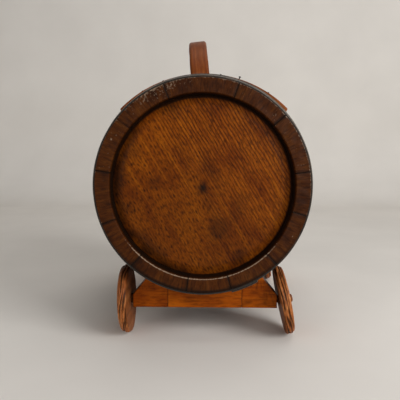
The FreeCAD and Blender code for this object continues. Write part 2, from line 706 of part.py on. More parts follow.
def rail(end, seat, pegs):
    """Rail across the cradle in three glued blocks: left shoulder, centre, right shoulder."""
    start = end * (HALF - RAIL_DEPTH)
    points = [Vector(x, start, z) for x, z in rail_outline()]
    board = filled(path(points)).extrude(Vector(0, -end * RAIL_THICKNESS, 0)).cut(seat)
    board = board.cut(pegs)
    left_joint = CRADLE_OFFSET - RAIL_CENTRE_HALF
    right_joint = CRADLE_OFFSET + RAIL_CENTRE_HALF
    far_out = CRADLE_OFFSET + 2 * RAIL_HALF_LENGTH
    return {
        "left": board.common(slab(-far_out, left_joint)),
        "centre": board.common(slab(left_joint, right_joint)),
        "right": board.common(slab(right_joint, far_out)),
    }


def runner(side):
    """Bar from rail to rail, as high under the cask as the laps of the bilge hoops leave room."""
    half = HALF - RAIL_DEPTH - RAIL_THICKNESS
    low_x = CRADLE_OFFSET + side * RUNNER_SPREAD - RUNNER_WIDTH / 2
    corner = Vector(low_x, -half, RUNNER_TOP - RUNNER_HEIGHT)
    return Part.makeBox(RUNNER_WIDTH, 2 * half, RUNNER_HEIGHT, corner)


def cask_pieces():
    """Staves, heads, hoops, battens, handle, bung and tap."""
    nodes = {}
    envelope = cask_envelope(0)
    for number, stave in enumerate(staves(), 1):
        nodes[f"stave_{number:02d}"] = stave
    nodes["stave_01"] = nodes["stave_01"].cut(bung_cone(BUNG_FIT))
    nodes["head_plain"] = head(-1)
    nodes["head_tap"] = head(1).cut(tap_shank(HEAD_FIT))
    rivets = []
    for end, side in (("near", -1), ("far", 1)):
        kinds = (
            ("head", HEAD_HOOP_SETBACK, HEAD_HOOP_WIDTH, HEAD_LAP_ANGLE),
            ("quarter", QUARTER_HOOP_DEPTH, INNER_HOOP_WIDTH, QUARTER_LAP_ANGLE),
            ("bilge", BILGE_HOOP_DEPTH, INNER_HOOP_WIDTH, BILGE_LAP_ANGLE),
        )
        for kind, depth, width, lap_angle in kinds:
            band, heads = hoop(side, depth, width, lap_angle)
            nodes[f"hoop_{kind}_{end}"] = band
            rivets += heads
        nodes[f"batten_{end}"] = batten(side, envelope)
        nodes[f"batten_nails_{end}"] = Part.makeCompound(batten_nails(side))
    nodes["hoop_rivets"] = Part.makeCompound(rivets)
    nodes["handle"] = handle([nodes["batten_near"], nodes["batten_far"]], envelope)
    nodes["handle_nails"] = Part.makeCompound(handle_nails())
    nodes["bung"] = bung()
    nodes["tap_body"] = tap_body()
    nodes["tap_cork"] = tap_cork()
    nodes["tap_spout"] = tap_spout()
    nodes["tap_key"] = tap_key()
    return nodes


def cradle_pieces():
    """Rails, runners, axle pegs and wheels."""
    nodes = {}
    seat = cask_envelope(SEAT_GAP)
    all_pegs = []
    for end, along in (("near", -1), ("far", 1)):
        pegs = [axle_peg(side, along) for side in (-1, 1)]
        for name, block in rail(along, seat, pegs).items():
            nodes[f"rail_{end}_{name}"] = block
        nodes[f"wheel_{end}_left"] = wheel(-1, along)
        nodes[f"wheel_{end}_right"] = wheel(1, along)
        all_pegs += pegs
    nodes["axle_pegs"] = Part.makeCompound(all_pegs)
    nodes["runner_left"] = runner(-1)
    nodes["runner_right"] = runner(1)
    return nodes


def main():
    """Builds every piece and writes it in the part's own frame."""
    os.makedirs("parts", exist_ok=True)
    onto_floor = Vector(0, -TAP_OVERHANG / 2, AXIS_HEIGHT)
    for name, shape in {**cask_pieces(), **cradle_pieces()}.items():
        shape.translate(onto_floor)
        shape.exportStep(f"parts/{name}.step")


main()
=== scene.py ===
import json
import math

import bmesh
import bpy
import numpy as np
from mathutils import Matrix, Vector


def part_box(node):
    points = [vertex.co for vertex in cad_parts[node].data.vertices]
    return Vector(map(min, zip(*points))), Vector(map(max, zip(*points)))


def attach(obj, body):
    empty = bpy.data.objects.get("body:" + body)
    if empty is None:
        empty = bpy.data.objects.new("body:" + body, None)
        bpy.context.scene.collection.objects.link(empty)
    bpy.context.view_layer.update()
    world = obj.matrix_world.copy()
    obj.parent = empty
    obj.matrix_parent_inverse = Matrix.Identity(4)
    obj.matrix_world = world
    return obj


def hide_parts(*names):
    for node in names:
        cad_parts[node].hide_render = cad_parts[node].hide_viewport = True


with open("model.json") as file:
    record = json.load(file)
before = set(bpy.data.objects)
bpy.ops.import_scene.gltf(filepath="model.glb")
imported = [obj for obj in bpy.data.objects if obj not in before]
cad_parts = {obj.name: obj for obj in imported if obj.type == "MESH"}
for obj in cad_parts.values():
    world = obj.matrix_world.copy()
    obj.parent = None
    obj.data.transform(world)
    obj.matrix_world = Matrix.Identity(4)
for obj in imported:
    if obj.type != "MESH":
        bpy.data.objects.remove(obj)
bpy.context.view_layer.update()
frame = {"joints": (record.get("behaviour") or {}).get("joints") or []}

# Staves. Twelve oak staves, steamed to the bulge of the cask and jointed dry, so that each joint is a
# thin dark line. Their ends make the chime, bevelled inside and cut by the croze that holds the head:
# the end grain drank the stain and is nearly black, and the rim is knocked pale where it has been hit.
MM = 0.001
STAVE_SPANS = (40.1, 29.5, 32.5, 23.7, 30.8, 28.2, 24.5, 33.2, 27.8, 29.3, 30.0, 30.4)  # degrees
STAVE_WEAR = (0.28, 0.28, 0.28, 0.24, 0.20, 0.22, 0.20, 0.22, 0.22, 0.24, 0.28, 0.30)
STAVE_DARKNESS = (0.12, 0.20, 0.22, 0.34, 0.30, 0.14, 0.06, 0.20, 0.10, 0.24, 0.16, 0.10)
STAVE_THICKNESS = 14.0 * MM
STAVE_ROUNDING = 0.5 * MM
FIRST_JOINT = math.radians(-20.6)
CHIME_RADIUS = 98.5 * MM
stave_low, stave_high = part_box("stave_01")
head_low, head_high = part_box("head_plain")
AXIS_X = (head_low.x + head_high.x) / 2
AXIS_Z = (head_low.z + head_high.z) / 2
CASK_Y = (stave_low.y + stave_high.y) / 2
CASK_HALF = (stave_high.y - stave_low.y) / 2
BILGE_RADIUS = stave_high.z - AXIS_Z
BULGE = BILGE_RADIUS - CHIME_RADIUS
BEND_RADIUS = (CASK_HALF ** 2 + BULGE ** 2) / (2 * BULGE)


def linear(code):
    """Linear colour of an sRGB hex code: each channel c is c / 12.92 up to 0.04045, and above it
    ((c + 0.055) / 1.055) to the power 2.4."""
    parts = [int(code[start:start + 2], 16) / 255 for start in (1, 3, 5)]
    return [c / 12.92 if c <= 0.04045 else ((c + 0.055) / 1.055) ** 2.4 for c in parts] + [1]


def add(tree, kind, given, output=0):
    """Adds a shader node and gives one of its outputs. Each key names a property or a socket, or is a
    socket's number, and another node's output as its value is linked there. Stops fill a colour ramp."""
    node = tree.nodes.new(kind)
    for key, value in given.items():
        if key == "stops":
            stops = node.color_ramp.elements
            for stop, (place, code) in zip(stops, (value[0], value[-1])):
                stop.position = place
                stop.color = linear(code)
            for place, code in value[1:-1]:
                stops.new(place).color = linear(code)
        elif isinstance(value, bpy.types.NodeSocket):
            tree.links.new(value, node.inputs[key])
        elif isinstance(key, str) and hasattr(node, key):
            setattr(node, key, value)
        else:
            node.inputs[key].default_value = value
    return node.outputs[output]


def blank_material(name):
    """A new material, its node tree and its shader."""
    made = bpy.data.materials.new(name)
    made.use_nodes = True
    return made, made.node_tree, made.node_tree.nodes["Principled BSDF"]


# What each point of a piece carries, beside its place in the plank: how rubbed it is, together with any
# painted highlight; how dirty, together with any painted shade; and how high in the grain. Then the
# pores, patches of stain and scuffs to a metre across the grain.
MARKS = ("edge", "grime", "relief")
PORES = 620
PATCHES = 40
SCUFFS = 420
# The near black that both dirt and painted shade mix into a wood.
DIRT_AND_SHADE = "#100804"


def oak(name, tones, stain, lines=300, line_dark=0.45, pores=0.5, wear="#A39078", gloss=0.45, coat=0.1,
        bump=0.3, rays=1.0, run=90):
    """Oak, planed, stained and waxed. It gives the eye growth bands, so many lines to a metre, dark
    pores, stain that lies thicker in patches of 25 to 40 mm, pale wood where a piece is rubbed and where
    it carries a painted highlight, near black in dirty joints and where it carries painted shade, and a
    satin that is duller where the stain is thick. The pores are 1.6 mm apart, twice as coarse as real
    ones, so that they show, and the run is how many come to a metre end to end. Rays under 1 draw the
    pattern out through the thickness of a quarter-sawn board."""
    made, tree, shader = blank_material(name)
    board = add(tree, "ShaderNodeAttribute", {"attribute_name": "board"}, "Vector")
    edge, grime, relief = [add(tree, "ShaderNodeAttribute", {"attribute_name": mark}, "Fac")
                           for mark in MARKS]
    noise = []
    for scale, detail in (((8, lines, lines * rays), 5), ((run, PORES, PORES * rays), 2),
                          ((25, PATCHES, PATCHES), 5), ((300, SCUFFS, SCUFFS), 4)):
        spread = add(tree, "ShaderNodeMapping", {"Vector": board, "Scale": scale})
        texture = {"Vector": spread, "Scale": 1.0, "Detail": detail, "Roughness": 0.62}
        noise.append(add(tree, "ShaderNodeTexNoise", texture))
    bands, pore, patches, scuffs = noise
    darken = {"data_type": "RGBA", "blend_type": "MULTIPLY"}
    wood = add(tree, "ShaderNodeValToRGB", {"Fac": bands, "stops": list(zip((0.30, 0.50, 0.70), tones))})
    pits = add(tree, "ShaderNodeValToRGB", {"Fac": pore, "stops": [(0.36, "#000000"), (0.50, "#FFFFFF")]})
    pored = add(tree, "ShaderNodeMix", {**darken, 0: pores, 6: wood, 7: pits}, 2)
    ridge = add(tree, "ShaderNodeValToRGB", {"Fac": relief, "stops": [(0.18, "#000000"), (0.60, "#FFFFFF")]})
    lined = add(tree, "ShaderNodeMix", {**darken, 0: line_dark, 6: pored, 7: ridge}, 2)
    soaking = [(0.34, stain), (0.50, "#E4DAD0"), (0.66, "#FFFFFF")]
    soaked = add(tree, "ShaderNodeValToRGB", {"Fac": patches, "stops": soaking})
    stained = add(tree, "ShaderNodeMix", {**darken, 0: 0.8, 6: lined, 7: soaked}, 2)
    # Rubbed wood and painted highlights both mix in the pale colour; dirt and painted shade mix in near
    # black.
    rubbing = add(tree, "ShaderNodeMath", {"operation": "ADD", 0: edge, 1: scuffs})
    rubbed = add(tree, "ShaderNodeMapRange", {"Value": rubbing, "From Min": 0.92, "From Max": 1.15})
    worn_and_lit = add(tree, "ShaderNodeMix", {"data_type": "RGBA", 0: rubbed, 6: stained, 7: linear(wear)}, 2)
    colour = add(tree, "ShaderNodeMix", {"data_type": "RGBA", 0: grime, 6: worn_and_lit, 7: linear(DIRT_AND_SHADE)}, 2)
    tree.links.new(colour, shader.inputs["Base Color"])
    sheen = {"Value": patches, "To Min": gloss + 0.14, "To Max": gloss - 0.12}
    roughness = add(tree, "ShaderNodeMapRange", sheen)
    tree.links.new(roughness, shader.inputs["Roughness"])
    height = add(tree, "ShaderNodeMath", {"operation": "ADD", 0: pore, 1: bands})
    raised = add(tree, "ShaderNodeBump", {"Height": height, "Strength": bump, "Distance": 0.0005})
    tree.links.new(raised, shader.inputs["Normal"])
    shader.inputs["Specular IOR Level"].default_value = 0.06
    shader.inputs["Coat Weight"].default_value = coat
    shader.inputs["Coat Roughness"].default_value = 0.3
    return made


def ripple(points, length, seed, waves=12):
    """Smooth unevenness, mostly from -1 to 1: a sum of sine waves in seeded directions, each of about
    the given length."""
    draw = np.random.default_rng(seed)
    direction = draw.normal(size=(waves, points.shape[-1]))
    direction /= np.linalg.norm(direction, axis=1)[:, None]
    direction *= (draw.uniform(0.75, 1.5, waves) * 2 * math.pi / length)[:, None]
    phase = points @ direction.T + draw.uniform(0, 2 * math.pi, waves)
    return np.sin(phase).sum(-1) * math.sqrt(0.5 / waves)


def rounded_block(length, width, height, rounding, rows, columns=(12, 6)):
    """Block with rounded edges as rows of closed loops. Each loop is a rectangle with quarter circles
    at its corners, with its points closest together by the corners. Towards each end it draws in along
    the same quarter circle, then shrinks to a pole in the middle of the end. Each point is given as its
    distances along, across and up from one corner."""
    quarter = np.linspace(0, math.pi / 2, 5)
    shrink = np.linspace(0, 1, 12)[:-1]
    straight = np.unique(np.clip(rows, rounding, length - rounding))[1:-1]
    rise = rounding * (1 - np.cos(quarter))
    swell = rounding * np.sin(quarter)
    along = np.concatenate([0 * shrink, rise, straight, length - rise[::-1], 0 * shrink + length])
    push = np.concatenate([0 * shrink, swell, 0 * straight + rounding, swell[::-1], 0 * shrink])
    scale = np.concatenate([shrink, np.ones(len(along) - 2 * len(shrink)), shrink[::-1]])
    corners = np.array([(1, 1), (-1, 1), (-1, -1), (1, -1)]) * (width / 2 - rounding, height / 2 - rounding)
    middle = []
    outward = []
    for number in range(4):
        arc = quarter + number * math.pi / 2
        bend = np.stack([np.cos(arc), np.sin(arc)], -1)
        share = (1 - np.cos(np.linspace(0, math.pi, columns[number % 2] + 1)))[1:-1, None] / 2
        run = corners[number] + (corners[(number + 1) % 4] - corners[number]) * share
        middle += [np.repeat(corners[number][None], 5, 0), run]
        outward += [bend, np.repeat(bend[-1:], len(share), 0)]
    loops = np.concatenate(middle) + np.concatenate(outward) * push[:, None, None]
    loops = loops * scale[:, None, None] + np.array([width / 2, height / 2])
    lengths = np.repeat(along[:, None, None], loops.shape[1], 1)
    return np.concatenate([lengths, loops], -1)


def surface(points, board, wrap=False, edge=0.0, grime=0.0, relief=1.0):
    """One closed skin of a piece: a grid whose rows are closed loops. Board is where each point lay in
    its plank, edge how rubbed it is together with any painted highlight, grime
    how dirty it is together with any painted shade, and relief how high in the grain it is. Wrap joins
    the last row to the first."""
    rows, loop = points.shape[:2]
    row = np.arange(rows if wrap else rows - 1)[:, None]
    column = np.arange(loop)
    after = (column + 1) % loop
    first = row * loop
    last = (row + 1) % rows * loop
    quads = np.stack([first + column, first + after, last + after, last + column], -1)
    marks = np.stack([np.broadcast_to(mark, (rows, loop)).ravel() for mark in (edge, grime, relief)], -1)
    return points.reshape(-1, 3), board.reshape(-1, 3), marks, quads.reshape(-1, 4)


def marked(mesh, board, marks):
    """Writes the place in the plank and the three marks of each point on the mesh."""
    for label, values in zip(MARKS, marks.T):
        held = mesh.attributes.get(label) or mesh.attributes.new(label, "FLOAT", "POINT")
        held.data.foreach_set("value", np.ascontiguousarray(values, np.float32))
    held = mesh.attributes.get("board") or mesh.attributes.new("board", "FLOAT_VECTOR", "POINT")
    held.data.foreach_set("vector", board.astype(np.float32).ravel())


def piece(name, surfaces, material, body, replaces=(), sharp=40):
    """One object made of its surfaces, one after another: doubles are merged at the poles, faces are
    turned outwards, and only edges over the sharp angle stay sharp."""
    points, board, marks, quads = zip(*surfaces)
    starts = np.cumsum([0] + [len(part) for part in points[:-1]])
    faces = np.concatenate([quad + start for quad, start in zip(quads, starts)])
    mesh = bpy.data.meshes.new(name)
    mesh.from_pydata(np.concatenate(points), [], faces.tolist())
    marked(mesh, np.concatenate(board), np.concatenate(marks))
    mesh.materials.append(material)
    closed = bmesh.new()
    closed.from_mesh(mesh)
    bmesh.ops.remove_doubles(closed, verts=closed.verts, dist=0.0005 * MM)
    bmesh.ops.recalc_face_normals(closed, faces=closed.faces)
    closed.to_mesh(mesh)
    closed.free()
    mesh.shade_smooth()
    mesh.set_sharp_from_angle(angle=math.radians(sharp))
    made = bpy.data.objects.new(name, mesh)
    bpy.context.scene.collection.objects.link(made)
    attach(made, body)
    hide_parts(*replaces)
    return made


def outer_radius(along):
    """Radius of the bulge at a distance from the middle of the cask: an arc through both chimes."""
    return BILGE_RADIUS - BEND_RADIUS + np.sqrt(BEND_RADIUS ** 2 - along ** 2)


def round_axis(angle, radius, along):
    """Point at an angle from the top towards +X, at a radius, and so far along the cask."""
    return np.stack([AXIS_X + radius * np.sin(angle), CASK_Y + along, AXIS_Z + radius * np.cos(angle)], -1)


# The inner side of a stave from its end inwards: the bevelled mouth, the throat, the croze that holds
# the head, the throat again, and the howel that runs out to the full bulge.
INSIDE_DEPTHS = np.array([0, 9, 12, 12.05, 16.3, 16.35, 34.3, 140]) * MM
MOUTH_RADIUS = 85.5 * MM
THROAT_RADIUS = 84.0 * MM
CROZE_RADIUS = 85.2 * MM
HOWEL_RADIUS = outer_radius(CASK_HALF - INSIDE_DEPTHS[6]) - STAVE_THICKNESS
INSIDE_RADII = np.array([MOUTH_RADIUS, THROAT_RADIUS, THROAT_RADIUS, CROZE_RADIUS, CROZE_RADIUS,
                         THROAT_RADIUS, HOWEL_RADIUS, BILGE_RADIUS - STAVE_THICKNESS])
# Widths of the wear on the chime and of its painted highlights, and where they lie, clockwise from
# the top.
RIM_DEPTH = 3.0 * MM
CHIP_WIDTH = 4.0 * MM
CORNER_WIDTH = 1.1 * MM
LIP_WIDTH = 0.9 * MM
DENT_WIDTH = 1.3 * MM
JOINT_WIDTH = 0.5 * MM
DAMP_WIDTH = 1.4 * MM
SCUFFED_ANGLE = math.radians(-24)
SCUFFED_HALF = math.radians(13)
# Painted highlight: the outer corner is paler towards this angle, where it faces the light.
LIT_CORNER_ANGLE = math.radians(45)
TIGHT_JOINT = 309  # degrees
CHIME_DENTS = ((44.6, 91.6), (56.0, 89.3), (77.0, 89.4), (-62.0, 93.0), (118.0, 94.0))  # degrees, mm

cuts = np.concatenate([np.array([1, 2, 3.2]) * MM, INSIDE_DEPTHS[1:7]])
stave_rows = np.concatenate([np.linspace(0, 2 * CASK_HALF, 57), cuts, 2 * CASK_HALF - cuts])
# Oak whose end grain drank the stain: nearly black brown and dull, with its bands drawn out across the
# chime, and a dusty grey-brown where knocks have opened it and where painted highlights lie.
stave_oak = oak("stained_oak_staves", ("#381904", "#472306", "#562F0C"), "#94806C", lines=300,
                line_dark=0.0, pores=0.35, wear="#8A7460", gloss=0.5, coat=0.03, bump=0.4, rays=0.2)
joint_angle = FIRST_JOINT
for number, (share, wear, darkness) in enumerate(zip(STAVE_SPANS, STAVE_WEAR, STAVE_DARKNESS), 1):
    span = math.radians(share * 360 / sum(STAVE_SPANS))
    width = span * CHIME_RADIUS
    laid = rounded_block(2 * CASK_HALF, width, STAVE_THICKNESS, STAVE_ROUNDING, stave_rows, (14, 5))
    along = laid[..., 0] - CASK_HALF
    depth = CASK_HALF - np.abs(along)
    inside = np.interp(depth, INSIDE_DEPTHS, INSIDE_RADII)
    up = laid[..., 2] / STAVE_THICKNESS
    radius = inside + up * (outer_radius(along) - inside)
    angle = joint_angle + laid[..., 1] / width * span
    below_outside = (1 - up) * STAVE_THICKNESS
    near_joint = np.minimum(laid[..., 1], width - laid[..., 1])

    # Knocks have pushed the rim in by up to half a millimetre, and more beside the joints.
    uneven = ripple(round_axis(angle, radius, along), 11 * MM, number)
    rim = np.clip(1 - depth / RIM_DEPTH, 0, 1)
    chipped = np.clip(1 - near_joint / CHIP_WIDTH, 0, 1) * np.clip(uneven - 0.3, 0, 1) * wear * 2.4
    knocked = rim * (0.25 + 0.25 * np.clip(uneven, -1, 1) + chipped)
    along = along - np.sign(along) * knocked * MM

    # Pale: rubbed on the scuffed stretch, a line beside each joint, the outer corner and the dents. The
    # outer corner is paler still at the upper right, as a painted highlight, and low down the inner corner
    # is pale as a lip that runs on into the recess, partly rubbed and partly a painted highlight.
    from_scuffs = (angle - SCUFFED_ANGLE + math.pi) % (2 * math.pi) - math.pi
    scuffed = np.exp(-(from_scuffs / SCUFFED_HALF) ** 2) * np.clip(2 * up - 0.5, 0, 1)
    beside_joint = np.clip(1 - np.abs(near_joint - 1.1 * MM) / (0.6 * MM), 0, 1)
    stave_wear_and_highlight = wear + scuffed * (0.1 + 0.17 * np.clip(uneven + 0.4, 0, 1.3)) + 0.14 * beside_joint
    corner = np.clip(1 - below_outside / CORNER_WIDTH, 0, 1)
    # Painted highlight: the outer corner is paler still on the side that faces the light.
    lit_side = np.clip(3 * np.cos(angle - LIT_CORNER_ANGLE) - 1.2, 0, 1)
    # Partly wear and partly painted highlight: low down, the inner corner faces up to the light and is
    # paler.
    low_down = np.clip(-1.9 - 4 * np.cos(angle), 0, 1)
    worn_and_lit_corner = np.clip(1.3 - up * STAVE_THICKNESS / LIP_WIDTH, 0, 1) * low_down
    stave_wear_and_highlight = stave_wear_and_highlight + corner * (0.12 + 0.16 * lit_side) + 0.5 * worn_and_lit_corner
    for dent_angle, dent_radius in CHIME_DENTS:
        from_dent_angle = (angle - math.radians(dent_angle) + math.pi) % (2 * math.pi) - math.pi
        from_dent = np.hypot(from_dent_angle * CHIME_RADIUS, radius - dent_radius * MM)
        stave_wear_and_highlight = stave_wear_and_highlight + 0.3 * np.exp(-(from_dent / DENT_WIDTH) ** 2)
    # The pale lip runs on into the recess: partly wear, partly painted highlight.
    worn_and_lit_lip = np.clip(1.4 - depth / RIM_DEPTH, 0, 1) * worn_and_lit_corner
    stave_wear_and_highlight = np.maximum(rim * np.clip(stave_wear_and_highlight, 0, 1), 0.5 * worn_and_lit_lip)

    # Dark: dirt in the joints, the tight one about half as much, the wall of the recess, made nearly black
    # by dirt and painted shade, and the rim low down, from damp.
    in_joint = np.clip(1.6 - near_joint / JOINT_WIDTH, 0, 1)
    tight = 0.5 * np.exp(-((np.degrees(angle) - TIGHT_JOINT) / 4) ** 2)
    # Painted shade, with some dirt: the recess wall deeper than 2 mm is darkened nearly black.
    recess_dirt_and_shade = (up < 0.3) * np.clip((depth - 2 * MM) / (2 * MM), 0, 1)
    damp = np.clip(-1.6 * np.cos(angle) - 0.5, 0, 1) * np.clip(2.4 - below_outside / DAMP_WIDTH, 0, 1)
    dirt_and_shade = darkness * 0.5 + (0.95 - tight) * in_joint + 0.95 * recess_dirt_and_shade + 0.8 * damp * rim

    # Each stave is cut from another place in the log, so its pattern starts elsewhere.
    board = laid + np.array([0.31, 0.17, 0.05]) * number
    skin = surface(round_axis(angle, radius, along), board, edge=stave_wear_and_highlight, grime=np.clip(dirt_and_shade, 0, 0.95))
    piece(f"stave_{number:02d}_oak", [skin], stave_oak, "cask", [f"stave_{number:02d}"])
    joint_angle += span

# Heads. Each head is a round oak board with a bevelled edge, held by its tongue in the croze. The face
# is planed and waxed to a satin, and its raised grain runs from the upper left to the lower right.
GRAIN_TURN = math.radians(-59)
GRAIN_HEIGHT = 0.07 * MM
HEAD_RECESS = 10.5 * MM
HEAD_TURNS = 600
HEAD_ROUNDING = 0.8 * MM
# The strokes of the grain are coarser than real pores, so that they show.
STROKE_SPACING = 2.9 * MM
# The line that is turned, outwards from the face and from the axis: face, bevel, tongue, inner side.
HEAD_LINE = np.array([(0, 0), (0, 75.05), (-2.35, 85.1), (-5.75, 85.1), (-5.75, 81.5), (-13, 69.5),
                      (-13, 0)]) * MM


def outline(corners, rounding, spacing, closed=False):
    """Line through the corners, each rounded by a quadratic curve from a point the rounding short of
    it, or half the run where that is less, to one as far past it, with more points at the spacing."""
    corners = np.asarray(corners, float)
    back, middle, ahead = corners[:-2], corners[1:-1], corners[2:]
    if closed:
        back, middle, ahead = np.roll(corners, 1, 0), corners, np.roll(corners, -1, 0)
    ends = []
    for side in (back, ahead):
        leg = side - middle
        share = np.minimum(rounding / np.linalg.norm(leg, axis=1), 0.5)
        ends.append(middle + leg * share[:, None])
    share = np.linspace(0, 1, 6)[:, None]
    line = np.concatenate([(1 - share) ** 2 * first + 2 * share * (1 - share) * at + share ** 2 * last
                           for first, at, last in zip(ends[0], middle, ends[1])])
    line = np.concatenate([line, line[:1]]) if closed else np.concatenate([corners[:1], line, corners[-1:]])
    run = np.concatenate([[0], np.cumsum(np.linalg.norm(np.diff(line, axis=0), axis=1))])
    places = np.union1d(run, np.arange(spacing, run[-1], spacing))
    places = places[np.concatenate([[True], np.diff(places) > 0.02 * spacing])]
    if closed:
        places = places[:-1]
    return np.stack([np.interp(places, run, line[:, axis]) for axis in (0, 1)], -1)


def turned(line, turns):
    """Lathe-turned surface: every (along, radius) point of the line goes once round the axis."""
    angle = np.linspace(0, 2 * math.pi, turns, endpoint=False)
    along = np.repeat(line[:, :1], turns, 1)
    return np.stack([along, line[:, 1:] * np.cos(angle), line[:, 1:] * np.sin(angle)], -1)


def placed(laid, origin, along, up):
    """Distances along, across and up set on an origin; the across axis is square to the other two."""
    return np.asarray(origin) + laid @ np.stack([along, np.cross(up, along), up])


# Planed oak under a satin wax: orange-brown, with fine dark strokes that stand in the grain and soft
# reflections across them.
head_oak = oak("stained_oak_heads", ("#723603", "#884505", "#9E5608"), "#A88C62", lines=420,
               line_dark=0.85, pores=0.4, gloss=0.42, coat=0.02, bump=0.3, run=220)
for name, side in (("head_plain", -1), ("head_tap", 1)):
    line = outline(HEAD_LINE, HEAD_ROUNDING, 0.75 * MM)
    order = np.arange(len(line))
    line = line[(line[:, 0] > -6 * MM) | (order % 6 == 0) | (order > len(line) - 2)]
    laid = turned(line, HEAD_TURNS)
    face_y = CASK_Y + side * (CASK_HALF - HEAD_RECESS)
    points = placed(laid, (AXIS_X, face_y, AXIS_Z), (0, side, 0), (0, 0, 1))
    flat = points - np.array([AXIS_X, face_y, AXIS_Z])
    across = flat[..., 0]
    up = flat[..., 2]
    from_centre = np.hypot(across, up)
    board = np.stack([across * math.cos(GRAIN_TURN) + up * math.sin(GRAIN_TURN),
                      up * math.cos(GRAIN_TURN) - across * math.sin(GRAIN_TURN), flat[..., 1]], -1)

    # The grain is in broken strokes at the upper right and goes over into flecks at the lower left.
    lines = np.sin(2 * math.pi * board[..., 1] / STROKE_SPACING + 1.1 * ripple(board[..., :2], 34 * MM, 9))
    breaks = ripple(board[..., :2] * np.array([0.4, 1.0]), 3.6 * MM, 7, 40)
    stroke = 0.75 * lines * np.clip(0.7 + breaks, 0, 1.4) + 0.35 * breaks
    fleck = ripple(board[..., :2] * np.array([0.38, 1.0]), 3.0 * MM, 8, 40)
    combed = np.clip(0.45 + 0.3 * ripple(board, 110 * MM, 21, 6) + 9 * across + 9 * up, 0, 1)
    grain = combed * (0.1 + 1.1 * stroke) + (1 - combed) * (0.2 + 0.55 * fleck)
    front = np.clip(1 - from_centre / (84 * MM), 0, 1) ** 0.1 * (laid[..., 0] > -1 * MM)
    points[..., 1] += side * GRAIN_HEIGHT * (grain - 1) * front

    # Dark: a spot at the middle of the plain head, smudges, a stained edge that is strongest at the left, a
    # band inside the rim that darkens towards the left, painted shade that deepens towards the lower left,
    # away from the light, and a ring of dirt at the croze, wider at the upper right as painted shadow.
    spot = np.exp(-((across - 0.5 * MM) / (4.4 * MM)) ** 2 - ((up + 1.5 * MM) / (5.6 * MM)) ** 2)
    smudge = np.clip(ripple(points, 34 * MM, 5) - 0.35, 0, 1) * 0.35
    near_edge = np.clip((from_centre - 64 * MM) / (16 * MM), 0, 1)
    dark_edge = near_edge * np.clip(ripple(points, 30 * MM, 6) + 0.3, 0, 1)
    dark_edge = dark_edge * np.clip(0.5 - across / (70 * MM), 0.15, 1)
    # A band just inside the rim, darker towards the left.
    at_edge = np.clip((from_centre - 73 * MM) / (8 * MM), 0, 1)
    dark_edge = dark_edge + 0.3 * at_edge * np.clip(0.35 - across / (90 * MM), 0, 1)
    # Painted shade: darker towards the bottom and left, away from the light, lightest at the top and right.
    painted_shade = np.clip(0.22 - 0.2 * np.clip(across / (50 * MM), -0.2, 1.2) - 0.2 * up / (50 * MM), 0, 0.36)
    # Dirt at the croze, and painted shadow of the chime's lip: the dark ring starts further in at the upper
    # right.
    upper_right = np.clip((across + up) / np.maximum(from_centre, MM), -1, 1)
    croze_dirt_and_lip_shadow = np.clip((from_centre - 81.8 * MM + 1.3 * MM * upper_right) / (1.5 * MM), 0, 1)
    dirt_and_shade = painted_shade + 0.8 * spot * (side < 0) + smudge + 0.5 * dark_edge + 0.95 * croze_dirt_and_lip_shadow
    board = board + np.array([0.0, 0.0, 0.4]) * side
    skin = surface(points, board, grime=np.clip(dirt_and_shade, 0, 0.95), relief=0.5 + 0.5 * grain)
    piece(f"{name}_oak", [skin], head_oak, "cask", [name])

# Hoops. Six flat iron hoops driven towards the bilge, each lapped over itself and closed with two
# rivets. The iron is black from the forge, browned by rust in places and rubbed bright on its edges.
HOOP_THICKNESS = 1.5 * MM
HOOP_ROUNDING = 0.35 * MM
HOOP_SPOKES = 361
LAP_LENGTH = 26.0 * MM
RIVET_RADIUS = 2.2 * MM
RIVET_HEIGHT = 1.0 * MM
# Each hoop's distance from the end of the cask, its width, and the angle of its lap in degrees.
HOOPS = (("head", 1.2 * MM, 16 * MM, 157), ("quarter", 46 * MM, 12 * MM, 206),
         ("bilge", 100.5 * MM, 12 * MM, 148))


def black_iron(name, dark, rust, bright, gloss):
    """Forged iron with its black scale on. It gives the eye a dull, nearly black metal, rust in patches
    of about 18 mm, a skin pitted every 4 mm, which is coarser than life so that it shows, and bare metal
    where the edges are rubbed."""
    made, tree, shader = blank_material(name)
    place = add(tree, "ShaderNodeTexCoord", {}, "Object")
    edge = add(tree, "ShaderNodeAttribute", {"attribute_name": "edge"}, "Fac")
    pitting = {"Vector": place, "Scale": 260.0, "Detail": 6.0, "Roughness": 0.65}
    pits = add(tree, "ShaderNodeTexNoise", pitting)
    clouds = add(tree, "ShaderNodeTexNoise", {"Vector": place, "Scale": 55.0, "Detail": 5.0})
    rusting = [(0.35, dark), (0.55, dark), (0.72, rust)]
    scale = add(tree, "ShaderNodeValToRGB", {"Fac": clouds, "stops": rusting})
    rubbing = add(tree, "ShaderNodeMath", {"operation": "ADD", 0: edge, 1: pits})
    bare = add(tree, "ShaderNodeMapRange", {"Value": rubbing, "From Min": 0.98, "From Max": 1.25})
    colour = add(tree, "ShaderNodeMix", {"data_type": "RGBA", 0: bare, 6: scale, 7: linear(bright)}, 2)
    tree.links.new(colour, shader.inputs["Base Color"])
    metal = add(tree, "ShaderNodeMapRange", {"Value": bare, "To Min": 0.45, "To Max": 1.0})
    tree.links.new(metal, shader.inputs["Metallic"])
    sheen = {"Value": pits, "To Min": gloss - 0.12, "To Max": gloss + 0.2}
    roughness = add(tree, "ShaderNodeMapRange", sheen)
    tree.links.new(roughness, shader.inputs["Roughness"])
    raised = add(tree, "ShaderNodeBump", {"Height": pits, "Strength": 0.35, "Distance": 0.0003})
    tree.links.new(raised, shader.inputs["Normal"])
    return made


